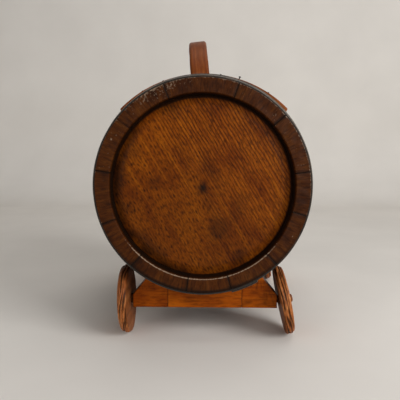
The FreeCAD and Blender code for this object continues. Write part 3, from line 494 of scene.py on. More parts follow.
def strap(depth, width, side, low, start, end, turns, seed):
    """Iron strap round the cask as rows of loops: its section is a rectangle with rounded corners,
    carried over the bulge from one angle to another at a height over the staves."""
    section = outline(np.array([(0, 0), (width, 0), (width, HOOP_THICKNESS), (0, HOOP_THICKNESS)]),
                      np.full(4, HOOP_ROUNDING), 3 * MM, closed=True)
    angle = np.linspace(start, end, turns)[:, None]
    along = side * (CASK_HALF - depth - section[:, 0]) + 0 * angle
    radius = outer_radius(along) + low + section[:, 1] + 0 * angle
    radius = radius + 0.10 * MM * ripple(round_axis(angle + 0 * radius, radius, along), 24 * MM, seed)
    from_side = np.minimum(section[:, 0], width - section[:, 0])
    from_corner = from_side + np.clip(HOOP_THICKNESS - section[:, 1], 0, None)
    rubbed = np.clip(1 - from_corner / (0.8 * MM), 0, 1) + 0 * angle
    return round_axis(angle + 0 * radius, radius, along), rubbed


def capped(points):
    """Closes both ends of rows of loops with a row drawn together in the middle of each end."""
    first, last = [np.broadcast_to(points[row].mean(0), points[row].shape)[None] for row in (0, -1)]
    return np.concatenate([first, points, last])


def hammered_head(radius, height, point, normal, seed):
    """Hammered head of a rivet or nail: a low dome whose rim wavers, set on a point of the surface."""
    rise = np.linspace(0, math.pi / 2, 6)
    dome = np.stack([height * np.cos(rise), radius * np.sin(rise)], -1)
    laid = turned(np.concatenate([dome, [(-0.2 * height, radius), (-0.2 * height, 0)]]), 16)
    laid[..., 1:] *= 1 + 0.07 * ripple(laid / radius, 1.6, seed)[..., None]
    normal = np.asarray(normal) / np.linalg.norm(normal)
    return surface(placed(laid, point, normal, np.cross(normal, (0.0, 0.6, 0.8))), laid, edge=0.25)


# Hoop iron, brown with rust in places, its rubbed edges a dull brown-grey.
hoop_iron = black_iron("black_forged_iron", "#1B1714", "#382416", "#5C5042", 0.42)
rivet_skins = []
for end, side in (("near", -1), ("far", 1)):
    for number, (kind, depth, width, lap_angle) in enumerate(HOOPS):
        seed = 3 + number + 3 * side
        band, rubbed = strap(depth, width, side, 0.0, 0, 2 * math.pi, HOOP_SPOKES, seed)
        band_skin = surface(band[:-1], band[:-1], wrap=True, edge=rubbed[:-1])
        middle = side * (CASK_HALF - depth - width / 2)
        lap_radius = outer_radius(middle) + HOOP_THICKNESS
        lap_half = LAP_LENGTH / 2 / lap_radius
        lap_start = math.radians(lap_angle) - lap_half
        lap_end = math.radians(lap_angle) + lap_half
        lap, rubbed = strap(depth, width, side, HOOP_THICKNESS, lap_start, lap_end, 24, seed)
        lap_points = capped(lap)
        lap_edge = np.concatenate([rubbed[:1] + 1, rubbed, rubbed[:1] + 1])
        lap_skin = surface(lap_points, lap_points, edge=np.clip(lap_edge, 0, 1))
        name = f"hoop_{kind}_{end}"
        piece(f"{name}_iron", [band_skin, lap_skin], hoop_iron, "cask", [name])
        for share in (0.25, 0.75):
            angle = lap_start + share * (lap_end - lap_start)
            point = round_axis(angle, lap_radius + HOOP_THICKNESS, middle)
            outward = point - np.array([AXIS_X, CASK_Y + middle * (1 - lap_radius / BEND_RADIUS), AXIS_Z])
            rivet_skins.append(hammered_head(RIVET_RADIUS, RIVET_HEIGHT, point, outward, len(rivet_skins)))
piece("hoop_rivets_iron", rivet_skins, hoop_iron, "cask", ["hoop_rivets"])

# Battens. Two bent oak strips that carry the handle, thin over the top of the cask and thicker towards
# their ends, which are sawn across and rounded by hand. Five nails with forged heads hold each, and one
# nail by the handle has worked loose and stands proud.
BATTEN_DEPTH = 60.0 * MM
BATTEN_WIDTH = 22.0 * MM
BATTEN_CROWN = 1.6 * MM
BATTEN_END = 5.0 * MM
BATTEN_HALF_SPAN = 84.6 * MM
BATTEN_END_SLOPE = math.tan(math.radians(18))
BATTEN_ROUNDING = 1.0 * MM
NAIL_ANGLES = (-34, -22, 9, 19, 36)
PROUD_NAIL = 19
NAIL_RADIUS = 1.7 * MM
NAIL_HEIGHT = 1.0 * MM
NAIL_PROUD = 2.0 * MM
SHANK_RADIUS = 0.8 * MM

batten_outer = outer_radius(CASK_HALF - BATTEN_DEPTH)
end_height = math.sqrt((batten_outer + BATTEN_END) ** 2 - BATTEN_HALF_SPAN ** 2)
batten_rise = batten_outer + BATTEN_CROWN - end_height
BATTEN_BEND = (BATTEN_HALF_SPAN ** 2 + batten_rise ** 2) / (2 * batten_rise)
BATTEN_DROP = BATTEN_BEND - batten_outer - BATTEN_CROWN


def batten_top(x, along):
    """Height of a batten over the cask's axis: an arc about a line that lies below the axis."""
    bend = outer_radius(along) + BATTEN_CROWN + BATTEN_DROP
    return np.sqrt(bend ** 2 - x ** 2) - BATTEN_DROP


def cask_top(x, along):
    """Height of the staves over the cask's axis, x to one side of it."""
    return np.sqrt(np.clip(outer_radius(along) ** 2 - x ** 2, 0, None))


def edge_of(laid, size, reach):
    """How near a point of a block is to one of its edges, from 1 on it to 0 at the reach: from the
    middle one of its distances to the nearest end, side and face."""
    gaps = np.minimum(laid, np.asarray(size) - laid)
    return np.clip(1 - np.sort(gaps, -1)[..., 1] / reach, 0, 1)


# Oak with a redder stain under its wax: orange-red and lively, darker at the middle, where hands have
# left their dirt, and greyed along its edges.
batten_oak = oak("stained_oak_battens", ("#7A3C12", "#96521E", "#AE6A34"), "#A88468", lines=260,
                 wear="#A08B78", gloss=0.42, coat=0.1, bump=0.4)
# The nails are forged of the same iron, a little greyer and duller.
nail_iron = black_iron("forged_nail_iron", "#231E1A", "#46301F", "#7C726A", 0.5)
for end, side in (("near", -1), ("far", 1)):
    size = (2 * BATTEN_HALF_SPAN, BATTEN_WIDTH, BATTEN_END)
    laid = rounded_block(*size, BATTEN_ROUNDING, np.linspace(0, size[0], 71), (10, 4))
    along = side * (CASK_HALF - BATTEN_DEPTH - laid[..., 1])
    share = laid[..., 2] / BATTEN_END
    x = laid[..., 0] - BATTEN_HALF_SPAN
    height = cask_top(x, along) + share * (batten_top(x, along) - cask_top(x, along))
    slope = (height - end_height) * BATTEN_END_SLOPE / BATTEN_HALF_SPAN
    x = x * (1 + slope * (np.abs(x) / BATTEN_HALF_SPAN) ** 6)
    height = cask_top(x, along) + share * (batten_top(x, along) - cask_top(x, along))
    points = np.stack([AXIS_X + x, CASK_Y + along, AXIS_Z + height], -1)
    points = points + 0.12 * MM * ripple(points, 18 * MM, 31 + side)[..., None] * np.array([0, 1, 0])
    rubbed = edge_of(laid, size, 1.6 * MM) * np.clip(1.25 - np.abs(x) / (55 * MM), 0.25, 0.8)
    middle_dirt = 0.45 * np.clip(1.5 - np.abs(x) / (36 * MM), 0, 1)
    skin = surface(points, laid + np.array([0.2, 0.1, 0.3]) * side, edge=rubbed, grime=middle_dirt)
    piece(f"batten_{end}_oak", [skin], batten_oak, "cask", [f"batten_{end}"])
    nail_along = side * (CASK_HALF - BATTEN_DEPTH - BATTEN_WIDTH / 2)
    bend = outer_radius(nail_along) + BATTEN_CROWN + BATTEN_DROP
    nail_skins = []
    for number, degrees in enumerate(NAIL_ANGLES):
        turn = math.radians(degrees)
        reach = math.sqrt(bend ** 2 - (BATTEN_DROP * math.sin(turn)) ** 2) - BATTEN_DROP * math.cos(turn)
        point = round_axis(turn, reach, nail_along)
        bend_y = CASK_Y + nail_along * (1 - bend / BEND_RADIUS)
        outward = point - np.array([AXIS_X, bend_y, AXIS_Z - BATTEN_DROP])
        outward = outward / np.linalg.norm(outward)
        if side < 0 and degrees == PROUD_NAIL:
            shank_line = [(-0.2 * MM, 0), (-0.2 * MM, SHANK_RADIUS), (NAIL_PROUD, SHANK_RADIUS),
                          (NAIL_PROUD, 0)]
            shank = turned(np.array(shank_line), 12)
            shank_up = np.cross(outward, (0.0, 0.6, 0.8))
            nail_skins.append(surface(placed(shank, point, outward, shank_up), shank))
            point = point + NAIL_PROUD * outward
        nail_skins.append(hammered_head(NAIL_RADIUS, NAIL_HEIGHT, point, outward, 40 + number))
    piece(f"batten_nails_{end}_iron", nail_skins, nail_iron, "cask", [f"batten_nails_{end}"])

# Handle. A bow sawn from one piece of oak, with a foot on each batten and an inner toe nailed to the
# staves. It leans a little to one side, and hands have rounded and polished its edges.
HANDLE_WIDTH = 19.0 * MM
HANDLE_THICKNESS = 15.0 * MM
HANDLE_GAP = 27.0 * MM
HANDLE_FOOT = 18.0 * MM
HANDLE_TOE = 20.0 * MM
TOE_HEIGHT = 12.0 * MM
TOE_ROUNDING = 1.8 * MM
TOE_NAIL = 6.0 * MM
HANDLE_OFFSET = -3.5 * MM
HANDLE_LEAN = math.radians(6)
HANDLE_ROUNDING = 3.0 * MM
half_span = CASK_HALF - BATTEN_DEPTH - 0.5 * MM
inner_half = half_span - HANDLE_FOOT
foot_base = batten_outer - BATTEN_END
bow_top = BILGE_RADIUS + HANDLE_GAP + HANDLE_THICKNESS


def bow_line(half, top, share):
    """Point of a bow's edge in the plane of the handle, the share going from -1 at the near foot to 1
    at the far one: an arc through both feet and the top."""
    rise = top - foot_base
    radius = (half ** 2 + rise ** 2) / (2 * rise)
    angle = share * (math.asin(half / radius) if rise < radius else math.pi - math.asin(half / radius))
    return np.stack([radius * np.sin(angle), top - radius + radius * np.cos(angle)], -1)


def handle_place(x, along, height):
    """Moves the upright handle to its offset, leans it over, and lets down what would stand below the
    wood that it is scribed to."""
    rise = height - batten_outer
    leaning = HANDLE_OFFSET + x * math.cos(HANDLE_LEAN) - rise * math.sin(HANDLE_LEAN)
    stood = batten_outer + rise * math.cos(HANDLE_LEAN) + x * math.sin(HANDLE_LEAN)
    depth = CASK_HALF - np.abs(along)
    on_batten = (depth > BATTEN_DEPTH) & (depth < BATTEN_DEPTH + BATTEN_WIDTH)
    seat = np.where(on_batten, batten_top(leaning, along), cask_top(leaning, along))
    return np.stack([AXIS_X + leaning, CASK_Y + along, AXIS_Z + np.maximum(stood, seat)], -1)


# Oak sawn to a bow and polished by hands: an even red-brown without lines, smooth and softly shining,
# with lighter edges.
handle_oak = oak("waxed_oak_handle", ("#6A3210", "#7A3E16", "#8A4C20"), "#B89A8C", lines=330,
                 line_dark=0.0, pores=0.2, wear="#B98C68", gloss=0.4, coat=0.05, bump=0.3)
size = (2 * half_span, HANDLE_WIDTH, HANDLE_THICKNESS)
laid = rounded_block(*size, HANDLE_ROUNDING, np.linspace(0, size[0], 91), (8, 6))
bow_share = laid[..., 0] / half_span - 1
across = laid[..., 1] - HANDLE_WIDTH / 2
outer_line = bow_line(half_span, bow_top, bow_share)
inner_line = bow_line(inner_half, bow_top - HANDLE_THICKNESS, bow_share)
line = inner_line + (laid[..., 2] / HANDLE_THICKNESS)[..., None] * (outer_line - inner_line)
bow = handle_place(across, line[..., 0], line[..., 1])
bow = bow + 0.15 * MM * ripple(bow, 22 * MM, 51)[..., None] * np.array([1, 0, 0])
rubbed = 0.42 * edge_of(laid, size, 4 * MM)
handle_skins = [surface(bow, laid + np.array([0.1, 0.2, 0.3]), edge=rubbed)]
toe_size = (HANDLE_TOE + HANDLE_FOOT / 2, HANDLE_WIDTH, TOE_HEIGHT)
nail_height = foot_base + TOE_HEIGHT
nail_upright = (-math.sin(HANDLE_LEAN), 0, math.cos(HANDLE_LEAN))
toe_nails = []
for side in (-1, 1):
    laid = rounded_block(*toe_size, TOE_ROUNDING, np.linspace(0, toe_size[0], 40), (8, 5))
    along = side * (inner_half - HANDLE_TOE + laid[..., 0])
    tip = np.clip(1 - laid[..., 0] / (6 * MM), 0, 1)
    across = (laid[..., 1] - HANDLE_WIDTH / 2) * (1 - 0.4 * tip ** 2)
    toe = handle_place(across, along, foot_base + laid[..., 2])
    board = laid + np.array([0.4, 0.2, 0.3]) * side
    handle_skins.append(surface(toe, board, edge=0.4 * edge_of(laid, toe_size, 3 * MM)))
    nail_along = side * (inner_half - HANDLE_TOE + TOE_NAIL)
    point = handle_place(np.array(0.0), np.array(nail_along), np.array(nail_height))
    toe_nails.append(hammered_head(NAIL_RADIUS, NAIL_HEIGHT, point, nail_upright, side + 60))
piece("handle_oak", handle_skins, handle_oak, "cask", ["handle"])
piece("handle_nails_iron", toe_nails, nail_iron, "cask", ["handle_nails"])

# Bung. A turned hardwood plug, tapered so that it jams in its hole in the top stave. Its end grain
# shows on top, where the mallet has bruised it.
bung_low, bung_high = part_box("bung")
BUNG_RADIUS = (bung_high.x - bung_low.x) / 2
BUNG_TAPER = 1.6 * MM
BUNG_ROUNDING = 1.3 * MM
bung_length = bung_high.z - bung_low.z
bung_line = [(0, 0), (0, BUNG_RADIUS - BUNG_TAPER), (bung_length, BUNG_RADIUS), (bung_length, 0)]
# Beech turned and left bare: a dull light brown with fine close pores, bruised paler at its rim.
bung_wood = oak("turned_beech_bung", ("#7A4B26", "#9B6A3F", "#B98C60"), "#8C6A50", lines=500,
                line_dark=0.2, pores=0.3, wear="#C4A27C", gloss=0.55, coat=0.0, bump=0.4)
laid = turned(outline(bung_line, BUNG_ROUNDING, 1.0 * MM), 96)
top = np.clip(1 - (bung_length - laid[..., 0]) / (1.5 * MM), 0, 1)
laid[..., 0] += top * 0.12 * MM * (ripple(laid, 6 * MM, 71) - 1.5)
points = placed(laid, (AXIS_X, CASK_Y, bung_low.z), (0, 0, 1), (0, 1, 0))
rim = np.clip(np.hypot(laid[..., 1], laid[..., 2]) / BUNG_RADIUS * 3 - 2, 0, 1) * top
bung_skin = surface(points, laid * np.array([0.3, 1, 1]), edge=0.5 * rim, grime=0.1)
piece("bung_wood", [bung_skin], bung_wood, "bung", ["bung"])


def bored(made, radius, low, high):
    """Cuts a round hole through a piece from one point up to another. The new points of the mesh take
    their marks and place in the plank from the nearest old point."""
    cutter_mesh = bpy.data.meshes.new("cutter")
    cutter = bpy.data.objects.new("cutter", cutter_mesh)
    bpy.context.scene.collection.objects.link(cutter)
    drill = bmesh.new()
    bmesh.ops.create_cone(drill, cap_ends=True, segments=96, radius1=radius[0], radius2=radius[1],
                          depth=high[2] - low[2])
    bmesh.ops.translate(drill, verts=drill.verts, vec=(Vector(low) + Vector(high)) / 2)
    drill.to_mesh(cutter_mesh)
    drill.free()
    old = made.data
    known = {label: np.zeros(len(old.vertices), np.float32) for label in MARKS}
    for label, held in known.items():
        old.attributes[label].data.foreach_get("value", held)
    old_points = np.zeros(len(old.vertices) * 3, np.float32)
    old_board = np.zeros(len(old.vertices) * 3, np.float32)
    old.vertices.foreach_get("co", old_points)
    old.attributes["board"].data.foreach_get("vector", old_board)
    cut = made.modifiers.new("hole", "BOOLEAN")
    cut.object = cutter
    cut.operation = "DIFFERENCE"
    cut.solver = "EXACT"
    result = bpy.data.meshes.new_from_object(made.evaluated_get(bpy.context.evaluated_depsgraph_get()))
    made.modifiers.clear()
    bpy.data.objects.remove(cutter)
    new_points = np.zeros(len(result.vertices) * 3, np.float32)
    result.vertices.foreach_get("co", new_points)
    new_points, old_points, old_board = [flat.reshape(-1, 3) for flat in (new_points, old_points, old_board)]
    square = (old_points ** 2).sum(1)
    nearest = np.concatenate([(square - 2 * part @ old_points.T).argmin(1)
                              for part in np.array_split(new_points, 1 + len(new_points) // 512)])
    marks = np.stack([known[label][nearest] for label in MARKS], -1)
    marked(result, old_board[nearest] + new_points - old_points[nearest], marks)
    name = old.name
    made.data = result
    bpy.data.meshes.remove(old)
    result.name = name
    result.shade_smooth()
    result.set_sharp_from_angle(angle=math.radians(40))


bung_axis = [(AXIS_X, CASK_Y, z) for z in (bung_low.z - 0.01 * MM, bung_high.z + 1 * MM)]
bung_hole = (BUNG_RADIUS - BUNG_TAPER + 0.05 * MM, BUNG_RADIUS + 0.1 * MM)
bored(bpy.data.objects["stave_01_oak"], bung_hole, *bung_axis)

# Tap. A turned hardwood tap driven into the far head: collar, cove, barrel and nose, with a tapered key
# in a cork sleeve through the barrel and a spout let into the nose. The wood is oiled, darker in the
# cuts of the tool, and wet round the spout.
TAP_DROP = 50.0 * MM
KEY_PLACE = 26.0 * MM
SPOUT_PLACE = 51.6 * MM
SPOUT_DROP = 8.5 * MM
BAR_HEIGHT = 27.8 * MM
tap_face = (AXIS_X, CASK_Y + CASK_HALF - HEAD_RECESS, AXIS_Z - TAP_DROP)
key_centre = (AXIS_X, tap_face[1] + KEY_PLACE, tap_face[2])
spout_top = (AXIS_X, tap_face[1] + SPOUT_PLACE, tap_face[2] - SPOUT_DROP)
# The lines that are turned, as mm along the axis and from it. The tap from its tenon in the head over
# the collar, the cove and the barrel, with a cut near each of its ends, to the nose.
TAP_LINE = np.array([(-18, 0), (-18, 8.2), (0, 10), (0.05, 15), (5, 15), (5.05, 10.5), (7, 9.4), (9, 9),
                     (11, 9.4), (13, 10.5), (13.05, 14), (16.4, 14), (17, 13.4), (17.6, 14), (34.4, 14),
                     (35, 13.4), (35.6, 14), (39, 14), (44, 10), (60, 10), (62.4, 8.4), (63, 5),
                     (63, 0)]) * MM
SPOUT_LINE = np.array([(-6, 3.5), (-6, 5.5), (0, 5.5), (0, 7.6), (4.5, 7.6), (7.5, 6.0), (15.5, 6.0),
                       (18.5, 7.6), (21.5, 7.6), (21.5, 3.5)]) * MM
KEY_LINE = np.array([(-18.3, 0), (-18.3, 6.3), (-14.3, 6.8), (14.3, 7.8), (14.35, 9.5), (17.8, 9.5),
                     (17.9, 5), (22, 4.4), (27.8, 4.6), (27.8, 0)]) * MM
BAR_LINE = np.array([(-17, 0), (-17, 3.2), (-14, 3.9), (0, 5.2), (14, 3.9), (17, 3.2), (17, 0)]) * MM
CORK_LINE = np.array([(-10.3, 7.3), (-10.3, 8.85), (10.3, 8.95), (10.3, 7.75)]) * MM
CUTS = (17 * MM, 35 * MM)
# Beech turned and oiled: a warm middle brown with a soft shine, darker in the cuts and paler where
# fingers turn it.
tap_wood = oak("oiled_beech_tap", ("#6B3F1E", "#8A5A33", "#A8794E"), "#8A664C", lines=420,
               line_dark=0.2, pores=0.3, wear="#B99670", gloss=0.42, coat=0.15, bump=0.25)
laid = turned(outline(TAP_LINE, 0.5 * MM, 1.1 * MM), 112)
radius = np.hypot(laid[..., 1], laid[..., 2])
cove_dirt = 0.35 * np.clip((11 * MM - radius) / (2 * MM), 0, 1) * (laid[..., 0] < 14 * MM)
from_cut = np.minimum(np.abs(laid[..., 0] - CUTS[0]), np.abs(laid[..., 0] - CUTS[1]))
cut_dirt = 0.5 * np.clip(1 - from_cut / (0.7 * MM), 0, 1)
rubbed = 0.35 * (radius > 13.8 * MM) + 0.25 * (laid[..., 0] > 60 * MM)
points = placed(laid, tap_face, (0, 1, 0), (0, 0, 1))
tap_skin = surface(points, laid, grime=cove_dirt + cut_dirt, edge=rubbed)
tap_body = piece("tap_body_wood", [tap_skin], tap_wood, "cask", ["tap_body"])
hole = [(*key_centre[:2], key_centre[2] + end * 16 * MM) for end in (-1, 1)]
bored(tap_body, (8.6 * MM, 9.3 * MM), *hole)
laid = turned(outline(SPOUT_LINE, 0.5 * MM, 0.9 * MM, closed=True), 72)
wet = 0.3 * np.clip((laid[..., 0] - 15 * MM) / (6 * MM), 0, 1)
points = placed(laid, spout_top, (0, 0, -1), (0, 1, 0))
spout_skin = surface(points, laid, wrap=True, grime=wet, edge=0.2)
piece("tap_spout_wood", [spout_skin], tap_wood, "cask", ["tap_spout"])
plug = turned(outline(KEY_LINE, 0.5 * MM, 0.9 * MM), 72)
on_collar = np.hypot(plug[..., 1], plug[..., 2]) > 9 * MM
plug_skin = surface(placed(plug, key_centre, (0, 0, 1), (0, 1, 0)), plug, edge=0.3 * on_collar)
bar = turned(outline(BAR_LINE, 2.4 * MM, 0.9 * MM), 48)
bar_centre = (*key_centre[:2], key_centre[2] + BAR_HEIGHT)
thumbed = 0.35 * np.clip(np.abs(bar[..., 0]) / (17 * MM), 0, 1)
bar_skin = surface(placed(bar, bar_centre, (1, 0, 0), (0, 0, 1)), bar + 0.1, edge=thumbed)
piece("tap_key_wood", [plug_skin, bar_skin], tap_wood, "tap_key", ["tap_key"])
# Cork cut from the bark: matt, pale tan and speckled with dark pits.
cork = oak("natural_cork", ("#8A6A45", "#A98457", "#C7A271"), "#8C7458", lines=700, line_dark=0.0,
           pores=0.6, wear="#C7A271", gloss=0.7, coat=0.0, bump=0.6)
laid = turned(outline(CORK_LINE, 0.3 * MM, 1.2 * MM, closed=True), 64)
cork_skin = surface(placed(laid, key_centre, (0, 0, 1), (0, 1, 0)), laid * np.array([12, 1, 1]), wrap=True)
piece("tap_cork_sleeve", [cork_skin], cork, "cask", ["tap_cork"])

# Cradle rails. Each rail is glued up from three oak blocks, hollowed to the cask and bevelled at its
# shoulders, then stained orange-brown and waxed. The joints between the blocks just show.
RAIL_END_HEIGHT = 12.4 * MM
RAIL_BEVEL = math.tan(math.radians(51))
SEAT_GAP = 0.3 * MM
RAIL_HEIGHT = 26.0 * MM
RAIL_ROUNDING = 0.7 * MM
STROKE_DEPTH = 0.05 * MM
rail_ends = [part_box("rail_near_left")[0].x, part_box("rail_near_right")[1].x]
# Stained oak under a satin wax, brighter than the heads: orange-brown, with long soft streaks that
# stand in the face, strongest on the right blocks.
rail_oak = oak("stained_oak_rails", ("#8E4202", "#A35004", "#B86208"), "#B49870", lines=300,
               line_dark=0.45, pores=0.35, wear="#B8894E", gloss=0.38, coat=0.02, bump=0.3)
for end in ("near", "far"):
    for number, block in enumerate(("left", "centre", "right")):
        low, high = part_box(f"rail_{end}_{block}")
        size = (high.x - low.x, high.y - low.y, RAIL_HEIGHT)
        laid = rounded_block(*size, RAIL_ROUNDING, np.linspace(0, size[0], 44), (10, 10))
        x, along = low.x + laid[..., 0], low.y + laid[..., 1] - CASK_Y
        seat = AXIS_Z - np.sqrt((outer_radius(along) + SEAT_GAP) ** 2 - (x - AXIS_X) ** 2)
        shoulder = low.z + RAIL_END_HEIGHT + RAIL_BEVEL * np.minimum(x - rail_ends[0], rail_ends[1] - x)
        height = laid[..., 2] / RAIL_HEIGHT * (np.minimum(seat, shoulder) - low.z)
        points = np.stack([x, CASK_Y + along, low.z + height], -1)
        streaked = np.stack([0.06 * points[..., 0], points[..., 2], 0.5 * points[..., 1]], -1)
        stroke = ripple(streaked, 2.2 * MM, 81 + number, 30)
        from_face = np.minimum(laid[..., 1], size[1] - laid[..., 1])
        outer_face = np.sign(along) * np.clip(1 - from_face / (0.3 * MM), 0, 1)
        points[..., 1] -= STROKE_DEPTH * (1 - stroke) * outer_face
        from_joint = np.minimum(laid[..., 0], size[0] - laid[..., 0])
        joint_dirt = 0.5 * np.clip(1 - from_joint / (0.9 * MM), 0, 1)
        board = points - np.array([0, 0, AXIS_Z]) + np.array([0.21, 0.13, 0.17]) * number
        skin = surface(points, board, edge=0.35 * edge_of(laid, size, 1.4 * MM), grime=joint_dirt,
                       relief=0.6 + 0.5 * stroke * (1.0 if block == "right" else 0.45))
        piece(f"rail_{end}_{block}_oak", [skin], rail_oak, "cradle", [f"rail_{end}_{block}"])

# Runners. Two plain oak bars that tie the rails together under the cask. They are sawn and planed from
# the rails' own wood, and stained and waxed with them.
for side in ("left", "right"):
    low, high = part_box(f"runner_{side}")
    size = (high.y - low.y, high.x - low.x, high.z - low.z)
    laid = rounded_block(*size, 0.8 * MM, np.linspace(0, size[0], 50), (8, 6))
    points = np.array(low) + laid[..., [1, 0, 2]]
    skin = surface(points, laid + 0.5, edge=0.3 * edge_of(laid, size, 1.5 * MM))
    piece(f"runner_{side}_oak", [skin], rail_oak, "cradle", [f"runner_{side}"])

# Wheels and axle pegs. Four solid discs cut from a flat-sawn plank, so that the year rings run round
# the tread in weathered ridges 2 mm apart. Each turns on a peg that is driven into the end of a rail,
# with a domed head outside.
WHEEL_RADIUS = 34.0 * MM
WHEEL_TURNS = 200
RIDGE_DEPTH = 0.5 * MM
LUMP_DEPTH = 0.6 * MM
# The lines that are turned, as mm along the peg and from its middle: round the wheel with its hole, and
# along the peg from its end in the rail over its shoulder to its head.
WHEEL_LINE = np.array([(5.5, 2.25), (-5.5, 2.25), (-5.5, 32.5), (-4.0, 34), (0.5, 34), (3.5, 31),
                       (4.9, 18.5), (5.5, 6)]) * MM
WHEEL_ROUNDINGS = np.array([0.5, 0.5, 0.6, 0.9, 1.0, 1.2, 3.0, 1.0]) * MM
PEG_LINE = np.array([(-18.5, 0), (-18.5, 2.2), (-7.2, 2.2), (-7.15, 5), (-5.8, 5), (-5.8, 2.2), (5.8, 2.2),
                     (5.85, 4), (7.2, 3.9), (8.0, 2.6), (8.0, 0)]) * MM
# Oak weathered bare: dry and paler than the rest, its soft wood worn back to dark grooves between the
# light ridges of the year rings.
wheel_oak = oak("weathered_oak_wheels", ("#8A4C24", "#AA6636", "#C4844E"), "#B89880", lines=520,
                line_dark=0.8, pores=0.3, wear="#C49A74", gloss=0.5, coat=0.05, bump=0.5)
# Beech turned and oiled like the tap, darker from the dirt of the floor.
peg_wood = oak("turned_beech_pegs", ("#63391C", "#7E4E2C", "#9A6A42"), "#8A664C", lines=420,
               line_dark=0.2, pores=0.3, wear="#A98660", gloss=0.45, coat=0.1, bump=0.25)
peg_skins = []
for number, joint in enumerate(joint for joint in frame["joints"] if joint["child"].startswith("wheel")):
    axis = np.array(joint["axis"])
    upright = np.cross(np.cross(axis, (0, 0, 1)), axis)
    upright = upright / np.linalg.norm(upright)
    laid = turned(outline(WHEEL_LINE, WHEEL_ROUNDINGS, 0.5 * MM, closed=True), WHEEL_TURNS)
    radius = np.hypot(laid[..., 1], laid[..., 2])
    wander = ripple(laid * np.array([0.2, 1, 1]), 45 * MM, 91 + number, 6)
    slant = laid[..., 0] + 0.05 * laid[..., 2] + 0.9 * MM * wander
    rings = np.stack([slant, 0.07 * laid[..., 1], 0.07 * laid[..., 2]], -1)
    ridge = 1.8 * ripple(rings, 2.3 * MM, 95 + number, 30) + 0.5 * ripple(rings, 1.3 * MM, 99 + number, 30)
    ridge = np.tanh(ridge)
    lump = np.clip(ripple(laid, 8 * MM, 103 + number) + 0.4, 0, 1)
    on_tread = np.clip((radius - 31.5 * MM) / (1.5 * MM), 0, 1)
    off_bore = np.clip((radius - 3 * MM) / (2 * MM), 0, 1)
    worn_back = on_tread * (RIDGE_DEPTH * (1 - ridge) + LUMP_DEPTH * lump) / WHEEL_RADIUS
    laid[..., 1:] *= (1 - worn_back)[..., None]
    hollow = 0.06 * MM * (1 + ripple(laid, 9 * MM, 99 + number))
    laid[..., 0] -= np.sign(laid[..., 0]) * off_bore * (1 - on_tread) * hollow
    # Painted shadow of the cask: the first and the fourth wheel are darker over their upper part.
    cask_shadow = 0.5 * (number % 3 == 0) * np.clip((laid[..., 2] - 23 * MM) / (8 * MM), 0, 1)
    # Painted shade: the inner face, towards the rail, is darker; all over, a little dirt.
    dirt_and_shade = 0.08 + 0.3 * (laid[..., 0] < -5.2 * MM) + cask_shadow
    board = np.stack([laid[..., 1], laid[..., 2] * 0.35, laid[..., 0]], -1) + 0.3 * number
    points = placed(laid, joint["pos_m"], axis, upright)
    skin = surface(points, board, wrap=True, relief=0.5 + 0.5 * ridge * on_tread + 0.5 * (1 - on_tread),
                   edge=0.3 * on_tread * np.clip(ridge, 0, 1), grime=dirt_and_shade)
    piece(f"{joint['child']}_oak", [skin], wheel_oak, joint["child"], [joint["child"]])
    peg = turned(outline(PEG_LINE, 0.6 * MM, 0.8 * MM), 48)
    peg_points = placed(peg, joint["pos_m"], axis, upright)
    peg_skins.append(surface(peg_points, peg + 0.2 * number, edge=0.3 * (peg[..., 0] > 6 * MM)))
piece("axle_pegs_wood", peg_skins, peg_wood, "cradle", ["axle_pegs"])

# Backdrop and floor. A pale cloth lies over a table and runs up the wall behind it in one smooth sweep.
# It is left plain, so that it only takes the shadow.
STAGE_HALF = 2.4
STAGE_BEND = 0.25
STAGE_FRONT = -0.8
STAGE_BACK = 0.9
STAGE_TOP = 2.6


def plain_cloth(name, low, high):
    """Matt cotton cloth, bleached and woven. It gives the eye a dull pale surface with a slight
    unevenness in patches of about 170 mm, and its weave is too fine to show."""
    made, tree, shader = blank_material(name)
    place = add(tree, "ShaderNodeTexCoord", {}, "Object")
    patches = add(tree, "ShaderNodeTexNoise", {"Vector": place, "Scale": 6.0, "Detail": 3.0})
    colour = add(tree, "ShaderNodeValToRGB", {"Fac": patches, "stops": [(0.3, low), (0.7, high)]})
    tree.links.new(colour, shader.inputs["Base Color"])
    shader.inputs["Roughness"].default_value = 0.9
    return made


reach = np.concatenate([np.linspace(STAGE_FRONT, STAGE_BACK, 12), np.full(12, STAGE_BACK)])
turn = np.concatenate([np.zeros(12), np.linspace(0, math.pi / 2, 12)])
sweep_y = np.append(reach + STAGE_BEND * np.sin(turn), STAGE_BACK + STAGE_BEND)
sweep_z = np.append(STAGE_BEND * (1 - np.cos(turn)), STAGE_TOP)
sweep_x = np.repeat([[-STAGE_HALF, STAGE_HALF]], len(sweep_y), 0)
sweep = np.stack([sweep_x, np.repeat(sweep_y[:, None], 2, 1), np.repeat(sweep_z[:, None], 2, 1)], -1)
first = np.arange(len(sweep_y) - 1)[:, None] * 2
quads = np.concatenate([first, first + 1, first + 3, first + 2], 1)
floor_mesh = bpy.data.meshes.new("floor")
floor_mesh.from_pydata(sweep.reshape(-1, 3), [], quads.tolist())
floor_mesh.materials.append(plain_cloth("pale_cloth", "#E2DDD6", "#E9E4DD"))
floor_mesh.shade_smooth()
floor = bpy.data.objects.new("floor", floor_mesh)
bpy.context.scene.collection.objects.link(floor)

# Light and camera. One broad soft lamp on the right in front, a weaker one beside it that gives the
# waxed wood its sheen, a weak fill and a weak lamp above. The room lights the object little, and is
# pale where the camera, a reflection or light that has gone through something meets it.
ROOM_LIGHT = "#504E4C"
ROOM_SEEN = "#BDB8B0"
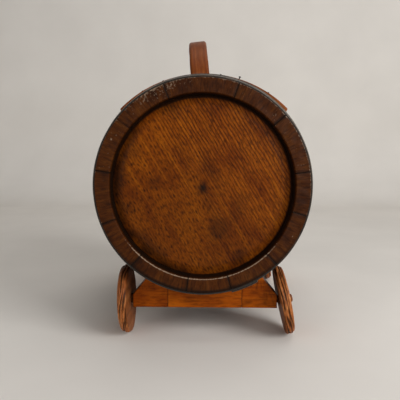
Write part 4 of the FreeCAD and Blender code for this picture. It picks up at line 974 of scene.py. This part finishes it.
# Name, place, size in metres and power in watts.
LAMPS = (("key", (1.25, -1.1, 0.8), 1.0, 24), ("window", (0.5, -1.55, 0.42), 0.6, 4.5),
         ("fill", (-1.2, -1.2, 0.45), 1.2, 7.5), ("top", (0.3, 0.1, 1.8), 1.4, 8))
LAMPS_AIM = Vector((0, 0, 0.15))
CAMERA_PLACE = (0.0106, -0.63645, 0.1878)
CAMERA_PITCH = math.radians(90 - 6.21)
CAMERA_TURN = math.radians(1.53)
# Millimetres: a sensor 36 wide, and a lens that sees one length across at 1.3 times that distance.
SENSOR = 36.0
LENS = SENSOR * 520 / 400
world = bpy.data.worlds.new("pale_room")
world.use_nodes = True
rays = [add(world.node_tree, "ShaderNodeLightPath", {}, f"Is {kind} Ray")
        for kind in ("Camera", "Glossy", "Transmission")]
mirrored = add(world.node_tree, "ShaderNodeMath", {"operation": "MAXIMUM", 0: rays[1], 1: rays[2]})
seen = add(world.node_tree, "ShaderNodeMath", {"operation": "MAXIMUM", 0: rays[0], 1: mirrored})
room_colours = {"data_type": "RGBA", 0: seen, 6: linear(ROOM_LIGHT), 7: linear(ROOM_SEEN)}
room = add(world.node_tree, "ShaderNodeMix", room_colours, 2)
world.node_tree.links.new(room, world.node_tree.nodes["Background"].inputs["Color"])
bpy.context.scene.world = world
for name, place, size, power in LAMPS:
    lamp = bpy.data.lights.new(name, "AREA")
    lamp.size = size
    lamp.energy = power
    lamp_object = bpy.data.objects.new(name, lamp)
    lamp_object.location = place
    lamp_object.rotation_euler = (LAMPS_AIM - Vector(place)).to_track_quat("-Z", "Y").to_euler()
    bpy.context.scene.collection.objects.link(lamp_object)
lens = bpy.data.cameras.new("camera")
lens.sensor_width = SENSOR
lens.lens = LENS
camera = bpy.data.objects.new("camera", lens)
camera.location = CAMERA_PLACE
camera.rotation_euler = (CAMERA_PITCH, 0, CAMERA_TURN)
bpy.context.scene.collection.objects.link(camera)
bpy.context.scene.camera = camera
bpy.context.scene.view_settings.view_transform = "Standard"
